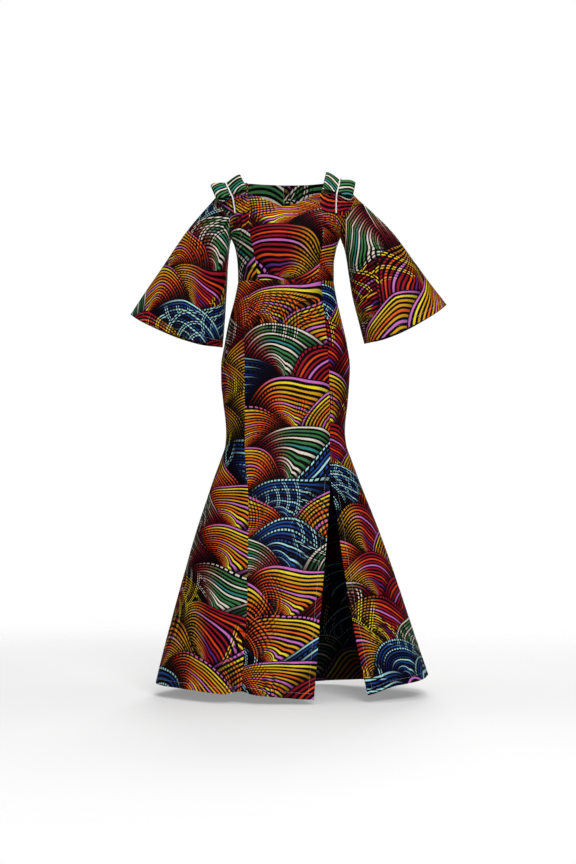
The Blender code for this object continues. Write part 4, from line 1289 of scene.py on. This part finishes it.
# The weave's slubs: scale, stretch along the thread and height, and what they and the ink do
# to the cloth's tone and roughness. Then the same for the fibres and stains of threads.
SLUB_SCALE, SLUB_STRETCH, SLUB_HEIGHT = 90.0, (1.0, 14.0, 1.0), 0.6
SLUB_TONE, CLOTH_TONE, SLUB_ROUGH, INK_ROUGH = 0.24, 0.88, 0.08, -0.06
FIBRE_SCALE, STAIN_SCALE = 2600.0, 90.0
FIBRE_TONE, STAIN_TONE, THREAD_TONE, FIBRE_ROUGH = 0.28, 0.1, 0.78, 0.12
CLOTH_BUMP, THREAD_BUMP, BUMP_DISTANCE = 0.25, 0.4, 0.0002
CLOTH_SHINE = {"Specular IOR Level": 0.03, "Sheen Weight": 0.002, "Sheen Roughness": 0.5}


@once("node_groups")
def fan_row_group(name):
    """One row of fans: offset from the nearest fan's foot, which fan it is, and if it covers."""
    inputs = {"Place": "Vector", "Row": 0.0, "Radius": 0.15, "Rise": 0.09}
    outputs = {"Offset": "Vector", "Fan": "Vector", "Covers": "Float"}
    group, b, given = new_group(name, "ShaderNodeTree", inputs, outputs)
    split, row, radius = b.split(given["Place"]), given["Row"], given["Radius"]
    wide, odd = radius * 2.0, row % 2.0
    shifted = odd * radius + split["X"]
    column = b.math("ROUND", shifted / wide)
    dx, dy = shifted - column * wide, split["Y"] - row * given["Rise"]
    away = b.math("SQRT", dx * dx + dy * dy)
    fan = b.join(column, row, odd)
    b.put_out({"Offset": b.join(dx, dy, away), "Fan": fan, "Covers": away < radius})
    return group


def fans_under(b, place, radius, rise):
    """The offset and number of the fan that covers each place, the front one first."""
    first = b.math("FLOOR", (b.split(place)["Y"] - radius) / rise) + 1.0
    rows = []
    for k in range(3):
        inputs = {"Place": place, "Radius": radius, "Rise": rise, "Row": first + float(k)}
        rows.append(b.add("ShaderNodeGroup", inputs, node_tree=fan_row_group("fan_row")))
    offset, fan = rows[2]["Offset"], rows[2]["Fan"]
    for row in (rows[1], rows[0]):
        offset = b.blend(row["Covers"], offset, row["Offset"], "VECTOR")
        fan = b.blend(row["Covers"], fan, row["Fan"], "VECTOR")
    return offset, fan


@once("node_groups")
def wax_print_group(name, c):
    """Rows of overlapping fans drawn in bundles of coloured lines on black."""
    inputs = {"Place": "Vector", "Fan Radius": 0.15, "Row Rise": 0.07, "Line Spacing": 0.012}
    inputs |= {"Flow": 0.05, "Dash Length": 0.011}
    outputs = {"Colour": "Color", "Ink": "Float"}
    group, b, given = new_group(name, "ShaderNodeTree", inputs, outputs)
    place, radius = given["Place"], given["Fan Radius"]
    rise, spacing = given["Row Rise"], given["Line Spacing"]

    # The rows sway, and the fans are wider than they are high.
    sway = b.vector("SUBTRACT", b.noise(place, SWAY_SCALE, 1.0, "Color"), (0.5, 0.5, 0.5))
    swayed = b.vector("ADD", place, b.scaled(sway, given["Flow"] * SWAY_GAIN))
    flowing = b.vector("MULTIPLY", swayed, FAN_SQUEEZE)
    offset, fan = fans_under(b, flowing, radius, rise)
    split = b.split(offset)
    away = split["Z"]
    draws = (fan, b.vector("ADD", fan, SECOND_DRAW))
    chance, kind = (
        b.add("ShaderNodeTexWhiteNoise", {"Vector": draw}, noise_dimensions="2D") for draw in draws
    )

    # "run" goes from one end of a fan to the other; the lines, counted in from the rim, converge.
    turn = b.math("ARCTAN2", split["X"], split["Y"])
    run = (chance - 0.5) * 0.5 + turn * (b.split(fan)["Z"] * 2.0 - 1.0)
    closer = b.soft_step(run, *CLOSER_RUN) * CLOSER + CLOSER_LEAST
    rim = (radius - away) / spacing * closer
    number = b.math("FLOOR", rim)
    band = number % BANDS * (1 / BANDS) + 0.1 / BANDS
    late = b.soft_step(run, *LATE_RUN)
    colour = None
    for start, names, end in FAMILIES:
        lines = b.ramp(band, [getattr(c, word) for word in names.split()])
        own = b.blend(late, lines, solid(getattr(c, end)))
        colour = b.blend(kind > start, colour, own) if start else own

    # Each line tapers and sinks into the black at its late end.
    half = b.noise(place, SWELL_SCALE, 1.0) * LINE_SWELL + LINE_HALF
    half = half * (b.soft_step(run, *THIN_RUN) * THINNER + 1.0)
    from_middle = abs(rim - number - 0.5)
    line = b.soft_step(from_middle, half + LINE_SOFT, half - LINE_SOFT)
    dash = b.math("FRACT", turn * away / given["Dash Length"]) < DASH_SHARE
    every = (number + b.math("FLOOR", chance * DASH_EVERY)) % DASH_EVERY
    bluish = kind > BLUE_FROM
    dashed = (every < 0.5) * b.math("MAXIMUM", bluish, late)
    dashed = b.math("MAXIMUM", dashed, (number < 0.5) * (chance > EDGE_DASH_ABOVE))
    line = line * b.blend(dashed, 1.0, dash, "FLOAT")
    sunk = b.soft_step(run, *SINK_LATE_RUN) * SINK_LATE
    sunk = sunk + b.soft_step(run, *SINK_EARLY_RUN) * SINK_EARLY
    ground = b.blend(from_middle > HAIR_FROM, solid(c.black), solid(c.maroon))
    shown = b.blend(line, ground, b.scaled(colour, 1.0 - sunk))

    # A second set of arcs crosses the first in patches, as fine broken lines.
    turned = {"Vector": flowing, "Location": CROSSING_PLACE, "Rotation": (0, 0, CROSSING_TURN)}
    crossing = fans_under(b, b.add("ShaderNodeMapping", turned), radius, rise)[0]
    second = b.split(crossing)["Z"] / (spacing * CROSSING_SPACING)
    near = abs(b.math("FRACT", second) - 0.5)
    patch = b.soft_step(b.noise(flowing, PATCH_SCALE, 0.0), *PATCH)
    shown = b.blend(b.soft_step(near, *GAP) * patch * GAP_DARK, shown, solid(c.black))
    every = b.math("FLOOR", second) % BRIGHT_EVERY < 0.5
    bright = b.soft_step(near, *BRIGHT) * every * patch * (from_middle < BRIGHT_WITHIN)
    pale = b.blend(kind > GREEN_FROM, solid(c.orange), solid(c.cream))
    pale = b.blend(kind > RED_FROM, pale, solid(c.yellow))
    shown = b.blend(bright, shown, b.blend(bluish, pale, solid(c.ice)))

    veins = {"Vector": flowing, "Scale": CRACK_SCALE}
    vein = b.add("ShaderNodeTexVoronoi", veins, "Distance", feature="DISTANCE_TO_EDGE")
    crack = (vein < CRACK_WIDTH) * CRACK_DARK
    b.put_out({"Colour": b.blend(crack, shown, solid(c.black)), "Ink": line})
    return group


@once("node_groups")
def weave_group(name):
    """Plain weave: the height of crossing threads, with slubs."""
    inputs, outputs = {"Place": "Vector", "Thread": 0.0005}, {"Height": "Float", "Slub": "Float"}
    group, b, given = new_group(name, "ShaderNodeTree", inputs, outputs)
    split, step = b.split(given["Place"]), math.pi / given["Thread"]
    over, under = (b.math("SINE", split[axis] * step) for axis in "XY")
    slub = b.noise(b.vector("MULTIPLY", given["Place"], SLUB_STRETCH), SLUB_SCALE, 2.0)
    b.put_out({"Height": slub * SLUB_HEIGHT + (over * under * 0.5 + 0.5), "Slub": slub})
    return group


def plain_material(name):
    material = bpy.data.materials.new(name)
    material.use_nodes = True
    board = Board(material.node_tree)
    return material, board, material.node_tree.nodes["Principled BSDF"].inputs


@once("materials")
def print_material(name, look):
    material, b, shader = plain_material(name)
    place = b.add("ShaderNodeUVMap", uv_map="cloth")
    inputs = {"Place": place, "Fan Radius": look.fan_radius, "Row Rise": look.row_rise}
    inputs |= {"Line Spacing": look.line_spacing, "Flow": look.flow}
    pattern = b.add("ShaderNodeGroup", inputs, node_tree=wax_print_group("wax_print", look))
    inputs = {"Place": place, "Thread": look.thread}
    weave = b.add("ShaderNodeGroup", inputs, node_tree=weave_group("plain_weave"))
    # The inside attribute is painted shade: it darkens the colour of the inner faces towards
    # look.inside.
    within = b.add("ShaderNodeAttribute", out="Fac", attribute_name="inside")
    slub = weave["Slub"]
    tone = (slub * SLUB_TONE + CLOTH_TONE) * (within * (look.inside - 1.0) + 1.0)
    rough = slub * SLUB_ROUGH + (pattern["Ink"] * INK_ROUGH + look.roughness)
    values = {"Base Color": b.scaled(pattern["Colour"], tone), "Roughness": rough}
    values["Normal"] = b.bump(CLOTH_BUMP, weave["Height"])
    b.feed(shader, values | CLOTH_SHINE)
    return material


@once("materials")
def thread_material(name, colour, roughness):
    material, b, shader = plain_material(name)
    place = b.add("ShaderNodeTexCoord", out="Object")
    fibre, stain = b.noise(place, FIBRE_SCALE, 3.0), b.noise(place, STAIN_SCALE, 2.0)
    tone = fibre * FIBRE_TONE + (stain * STAIN_TONE + THREAD_TONE)
    values = {"Base Color": b.scaled(colour, tone), "Normal": b.bump(THREAD_BUMP, fibre)}
    b.feed(shader, values | {"Roughness": fibre * FIBRE_ROUGH + roughness})
    return material


@once("materials")
def floor_material(name, colour):
    """A pale floor that fades out far away and is not seen from below."""
    material, b, shader = plain_material(name)
    place = b.add("ShaderNodeTexCoord", out="Object")
    darker = [value * FLOOR_GRAIN for value in colour]
    grain = b.noise(place, FLOOR_GRAIN_SCALE, 2.0)
    tone = b.blend(grain, solid(darker), solid(colour))
    away = b.vector("LENGTH", b.vector("MULTIPLY", place, (1.0, 1.0, 0.0)), out="Value")
    cover = b.soft_step(away, FLOOR_FADE[1], FLOOR_FADE[0]) * FLOOR_COVER
    under = b.add("ShaderNodeNewGeometry", out="Backfacing")
    values = {"Base Color": tone, "Alpha": cover * (1.0 - under)}
    b.feed(shader, values | {"Roughness": FLOOR_ROUGHNESS})
    return material


# ---------------------------------------------------------------- stitches and cords


@once("node_groups")
def stitch_group(name):
    """Stitches: short rounded threads laid end to end along a line."""
    inputs = {"Geometry": "Geometry", "Pitch": 0.0036, "Length": 0.0027, "Thickness": 0.0003}
    inputs |= {"Unevenness": 0.12, "Seed": 3, "Material": "Material"}
    group, b, given = new_group(name, "GeometryNodeTree", inputs, {"Geometry": "Geometry"})
    line = {"Curve": b.add("GeometryNodeMeshToCurve", {"Mesh": given["Geometry"]})}
    line["Length"] = given["Pitch"]
    points = b.add("GeometryNodeCurveToPoints", line, mode="LENGTH")
    thread = b.add("GeometryNodeMeshUVSphere", {"Segments": 6, "Rings": 5, "Radius": 1.0})
    thin = given["Thickness"] * 0.5
    size = b.join(thin, thin, given["Length"] * 0.5)
    shaped = b.add("GeometryNodeTransform", {"Geometry": thread, "Scale": size})
    least = {2: 1.0 - given["Unevenness"], 3: 1.0, "Seed": given["Seed"]}
    uneven = b.add("FunctionNodeRandomValue", least, 1, data_type="FLOAT")
    laid = {"Points": points, "Instance": shaped, "Rotation": points["Rotation"], "Scale": uneven}
    b.put_out_mesh(b.add("GeometryNodeInstanceOnPoints", laid), given["Material"])
    return group


@once("node_groups")
def twist_group(name):
    """A cord of two strands twisted round each other along a line."""
    inputs = {"Geometry": "Geometry", "Strands": 2, "Pitch": 0.008, "Strand Radius": 0.0011}
    inputs |= {"Step": 0.0007, "Material": "Material"}
    group, b, given = new_group(name, "GeometryNodeTree", inputs, {"Geometry": "Geometry"})
    radius, strands = given["Strand Radius"], given["Strands"]
    line = {"Curve": b.add("GeometryNodeMeshToCurve", {"Mesh": given["Geometry"]})}
    line["Length"] = given["Step"]
    fine = b.add("GeometryNodeResampleCurve", line, mode="LENGTH")
    copied = {"Geometry": fine, "Amount": strands}
    copies = b.add("GeometryNodeDuplicateElements", copied, domain="SPLINE")
    run = b.add("GeometryNodeSplineParameter", out="Length")
    turn = (run / given["Pitch"] + copies["Duplicate Index"] / strands) * math.tau
    normal, tangent = b.add("GeometryNodeInputNormal"), b.add("GeometryNodeInputTangent")
    out = b.scaled(normal, b.math("COSINE", turn))
    over = b.scaled(b.vector("CROSS_PRODUCT", tangent, normal), b.math("SINE", turn))
    move = b.scaled(b.vector("ADD", out, over), radius * STRAND_SPREAD)
    shifted = b.add("GeometryNodeSetPosition", {"Geometry": copies, "Offset": move})
    ring = {"Resolution": 8, "Radius": radius}
    ring = b.add("GeometryNodeCurvePrimitiveCircle", ring, mode="RADIUS")
    tube = {"Curve": shifted, "Profile Curve": ring, "Fill Caps": True}
    b.put_out_mesh(b.add("GeometryNodeCurveToMesh", tube), given["Material"])
    return group


def in_scene(name, data):
    """An object of the scene that shows the data."""
    shown = bpy.data.objects.new(name, data)
    bpy.context.scene.collection.objects.link(shown)
    return shown


def grown(name, line, group, values):
    """The plain mesh that a node group makes along a line of points in mm."""
    guide = bpy.data.meshes.new(name + "_guide")
    edges = [(k, k + 1) for k in range(len(line) - 1)]
    guide.from_pydata((line * MM).tolist(), edges, [])
    holder = in_scene(name + "_guide", guide)
    modifier = holder.modifiers.new("grow", "NODES")
    modifier.node_group = group
    for item in group.interface.items_tree:
        if item.in_out == "INPUT" and item.name in values:
            modifier[item.identifier] = values[item.name]
    bpy.context.view_layer.update()
    evaluated = holder.evaluated_get(bpy.context.evaluated_depsgraph_get())
    mesh = bpy.data.meshes.new_from_object(evaluated)
    mesh.name = name
    bpy.data.objects.remove(holder)
    bpy.data.meshes.remove(guide)
    if not mesh.polygons:
        raise RuntimeError(f"{name}: the nodes made no faces")
    return mesh


def joined(name, meshes):
    """One mesh of several that share one material."""
    whole = bmesh.new()
    for mesh in meshes:
        whole.from_mesh(mesh)
    result = bpy.data.meshes.new(name)
    whole.to_mesh(result)
    whole.free()
    result.materials.append(meshes[0].materials[0])
    result.shade_smooth()
    for mesh in meshes:
        bpy.data.meshes.remove(mesh)
    return result


def placed(name, mesh, material=None):
    """A finished piece at the origin that rides on the dress."""
    if material:
        mesh.materials.clear()
        mesh.materials.append(material)
    piece = in_scene(name, mesh)
    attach(piece, "root")
    return piece


def sew(context, cloths):
    """Places a group's pieces of cloth, each with the one wax print material."""
    sizes, look = context.scene.dress_sizes, context.scene.dress_look
    for cloth in cloths:
        mesh, area = shell(cloth, sizes.thickness)
        piece = placed("cloth_" + cloth.name, mesh, print_material("wax_print_cotton", look))
        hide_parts(cloth.name)
    return {"FINISHED"}


def stitch_lines():
    """The rows of stitches of each piece of stitching, as lines of points in mm."""
    rows = {"hem_stitches": [], "slit_stitches": []}
    slit = {"skirt_centre_front": "end", "skirt_side_front_right": "start"}
    for cloth in skirt_pieces():
        line = cloth.line_in("bottom", HEM_STITCH_IN)
        start = SLIT_STITCH_COLUMNS if slit.get(cloth.name) == "start" else 0
        end = -SLIT_STITCH_COLUMNS if slit.get(cloth.name) == "end" else len(line)
        rows["hem_stitches"].append(line[start:end])
        if cloth.name in slit:
            line = cloth.line_in(slit[cloth.name], HEM_STITCH_IN)
            below = line[:, 2] < SLIT_TOP_Z
            rows["slit_stitches"].append(line[below][:-SLIT_STITCH_ROWS])
    for cloth in sleeve_pieces():
        cuff = "cuff_stitches_" + cloth.name.split("_")[-1]
        rows.setdefault(cuff, []).append(cloth.line_in("bottom", HEM_STITCH_IN))
    return rows


# ---------------------------------------------------------------- sizes and colours


def length(name, description, default):
    return bpy.props.FloatProperty(
        name=name, description=description, default=default, unit="LENGTH"
    )


def fraction(name, description, default):
    return bpy.props.FloatProperty(
        name=name, description=description, default=default, subtype="FACTOR", min=0, max=1
    )


def colour(name, description, default):
    return bpy.props.FloatVectorProperty(
        name=name, description=description, default=default, subtype="COLOR", size=3, min=0, max=1
    )


class DressSizes(bpy.types.PropertyGroup):
    thickness: length("Cloth thickness", "Thickness of the waxed cotton shell", 0.0011)
    stitch_pitch: length("Stitch pitch", "Distance from one hem stitch to the next", 0.0036)
    stitch_length: length("Stitch length", "Length of the thread of one stitch", 0.0027)
    thread_width: length("Thread width", "Width of the sewing thread", 0.0004)
    cord_pitch: length("Cord twist", "Length of one turn of the cinch cord's strands", 0.0076)
    strand_radius: length("Strand radius", "Radius of a cinch cord's two strands", 0.00102)


class DressLook(bpy.types.PropertyGroup):
    fan_radius: length("Fan radius", "Radius of the print's fans", 0.135)
    row_rise: length("Row rise", "Distance from one row of fans to the next", 0.064)
    line_spacing: length("Line spacing", "Distance between a fan's lines", 0.0098)
    flow: length("Flow", "How far the fans sway out of their rows", 0.05)
    thread: length("Weave", "Distance between threads of the weave", 0.0005)
    roughness: fraction("Roughness", "Roughness of the waxed cotton", 0.56)
    # Painted shade: how bright the print's inner faces stay at full weight, as inside the skirt.
    inside: fraction("Wrong side", "Brightness of the print's wrong side in the skirt", 0.14)
    gold: colour("Gold", "Main line colour of the print", (0.672, 0.352, 0.013))
    yellow: colour("Yellow", "Brightest line colour", (0.831, 0.68, 0.032))
    orange: colour("Orange", "Warm line colour", (0.753, 0.127, 0.013))
    pink: colour("Pink violet", "Accent line colour", (0.578, 0.156, 0.515))
    green: colour("Green", "Line colour of the green fans", (0.045, 0.188, 0.061))
    teal: colour("Teal", "Second green line colour", (0.03, 0.23, 0.2))
    cream: colour("Cream", "Pale line colour", (0.753, 0.68, 0.578))
    crimson: colour("Crimson", "Line colour of the red fans", (0.305, 0.008, 0.021))
    scarlet: colour("Scarlet", "Second red line colour", (0.716, 0.061, 0.01))
    plum: colour("Plum", "Purple line colour", (0.102, 0.021, 0.188))
    blue: colour("Blue", "Line colour of the blue fans", (0.013, 0.061, 0.262))
    navy: colour("Navy", "Dark blue line colour", (0.007, 0.01, 0.061))
    ice: colour("Pale blue", "Pale line colour of the blue fans", (0.402, 0.716, 0.753))
    maroon: colour("Maroon", "Hairlines in the dark ground", (0.012, 0.0008, 0.003))
    black: colour("Black", "Ground of the print", (0.0015, 0.0012, 0.0018))
    cord: colour("Cord", "Colour of the cinch cords", (0.95, 0.94, 0.91))
    sewing: colour("Thread", "Colour of the sewing thread", (0.012, 0.008, 0.012))
    floor: colour("Floor", "Colour of the studio floor", (0.9, 0.9, 0.9))


# ---------------------------------------------------------------- operators


class DRESS_OT_skirt(bpy.types.Operator):
    """Build the five panels of the slit skirt"""

    bl_idname = "dress.skirt"
    bl_label = "Skirt"

    def execute(self, context):
        return sew(context, skirt_pieces())


class DRESS_OT_bodice(bpy.types.Operator):
    """Build the five panels of the bodice"""

    bl_idname = "dress.bodice"
    bl_label = "Bodice"

    def execute(self, context):
        return sew(context, bodice_pieces())


class DRESS_OT_bands(bpy.types.Operator):
    """Build the gathered shoulder bands"""

    bl_idname = "dress.bands"
    bl_label = "Shoulder bands"

    def execute(self, context):
        return sew(context, band_pieces())


class DRESS_OT_sleeves(bpy.types.Operator):
    """Build the two bell sleeves"""

    bl_idname = "dress.sleeves"
    bl_label = "Bell sleeves"

    def execute(self, context):
        return sew(context, sleeve_pieces())


class DRESS_OT_bows(bpy.types.Operator):
    """Build the folded wings of both shoulder bows"""

    bl_idname = "dress.bows"
    bl_label = "Bows"

    def execute(self, context):
        return sew(context, bow_pieces())


class DRESS_OT_cords(bpy.types.Operator):
    """Build the twisted cinch cord of each shoulder"""

    bl_idname = "dress.cords"
    bl_label = "Cinch cords"

    def execute(self, context):
        sizes, look = context.scene.dress_sizes, context.scene.dress_look
        values = {"Pitch": sizes.cord_pitch, "Strand Radius": sizes.strand_radius}
        values["Material"] = thread_material("cotton_cord", look.cord, CORD_ROUGHNESS)
        for side in (-1, 1):
            node = "cinch_cord_" + side_name(side)
            line = evenly(cord_route(side), CORD_POINTS)
            twisted = grown(node, line, twist_group("twisted_cord"), values)
            piece = placed("twisted_" + node, twisted)
            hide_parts(node)
        return {"FINISHED"}


class DRESS_OT_stitching(bpy.types.Operator):
    """Sew the hems and the slit with rows of stitches"""

    bl_idname = "dress.stitching"
    bl_label = "Hem stitching"

    def execute(self, context):
        sizes, look = context.scene.dress_sizes, context.scene.dress_look
        values = {"Pitch": sizes.stitch_pitch, "Length": sizes.stitch_length}
        values["Thickness"] = sizes.thread_width
        values["Material"] = thread_material("sewing_thread", look.sewing, SEWING_ROUGHNESS)
        for name, lines in stitch_lines().items():
            made = [grown(name, line, stitch_group("stitch_row"), values) for line in lines]
            piece = placed(name, joined(name, made))
            "green_print" if "cuff" in name else "navy_print"
        return {"FINISHED"}


class DRESS_OT_stage(bpy.types.Operator):
    """Set the pale floor, the soft lights and the camera"""

    bl_idname = "dress.stage"
    bl_label = "Stage"

    def execute(self, context):
        scene = context.scene
        turns = np.arange(FLOOR_SIDES) * math.tau / FLOOR_SIDES
        ring = [(FLOOR_RADIUS * math.cos(t), FLOOR_RADIUS * math.sin(t), FLOOR_Z) for t in turns]
        mesh = bpy.data.meshes.new("studio_floor")
        mesh.from_pydata(ring, [], [tuple(range(FLOOR_SIDES))])
        mesh.materials.append(floor_material("studio_floor", scene.dress_look.floor))
        floor = in_scene("studio_floor", mesh)
        for name, place, aim, size, watts in LIGHTS:
            data = bpy.data.lights.new(name, "AREA")
            data.shape, data.size, data.energy = "SQUARE", size, watts
            light = in_scene(name, data)
            light.location = place
            towards = mathutils.Vector(np.subtract(aim, place))
            light.rotation_euler = towards.to_track_quat("-Z", "Y").to_euler()
        scene.world = bpy.data.worlds.new("studio")
        scene.world.use_nodes = True
        tree = scene.world.node_tree
        b = Board(tree)
        seen = b.add("ShaderNodeLightPath", out="Is Camera Ray")
        strength = seen * (1 - WORLD_STRENGTH) + WORLD_STRENGTH
        b.feed(tree.nodes["Background"].inputs, {"Color": (1, 1, 1, 1), "Strength": strength})
        lens = bpy.data.cameras.new("camera")
        lens.sensor_width, lens.lens = CAMERA_SENSOR, CAMERA_LENS
        camera = in_scene("camera", lens)
        camera.location = CAMERA_PLACE
        camera.rotation_euler = (math.pi / 2, 0, 0)
        scene.camera = camera
        scene.view_settings.view_transform = "Standard"
        return {"FINISHED"}


OPERATORS = (
    DRESS_OT_skirt,
    DRESS_OT_bodice,
    DRESS_OT_bands,
    DRESS_OT_sleeves,
    DRESS_OT_bows,
    DRESS_OT_cords,
    DRESS_OT_stitching,
    DRESS_OT_stage,
)


class DRESS_PT_panel(bpy.types.Panel):
    """Lists the pieces of the dress and their sizes and colours"""

    bl_idname = "DRESS_PT_panel"
    bl_label = "Wax dress"
    bl_space_type = "VIEW_3D"
    bl_region_type = "UI"
    bl_category = "Wax dress"

    def draw(self, context):
        for operator in OPERATORS:
            self.layout.operator(operator.bl_idname)
        for settings in (context.scene.dress_sizes, context.scene.dress_look):
            box = self.layout.box()
            for name in settings.bl_rna.properties.keys():
                if name not in ("rna_type", "name"):
                    box.prop(settings, name)


CLASSES = (DressSizes, DressLook, *OPERATORS, DRESS_PT_panel)


def register():
    for cls in CLASSES:
        bpy.utils.register_class(cls)
    bpy.types.Scene.dress_sizes = bpy.props.PointerProperty(type=DressSizes)
    bpy.types.Scene.dress_look = bpy.props.PointerProperty(type=DressLook)


def unregister():
    del bpy.types.Scene.dress_look, bpy.types.Scene.dress_sizes
    for cls in reversed(CLASSES):
        bpy.utils.unregister_class(cls)


def main():
    register()
    bpy.ops.dress.skirt()
    bpy.ops.dress.bodice()
    bpy.ops.dress.bands()
    bpy.ops.dress.sleeves()
    bpy.ops.dress.bows()
    bpy.ops.dress.cords()
    bpy.ops.dress.stitching()
    bpy.ops.dress.stage()


if __name__ == "__main__":
    main()
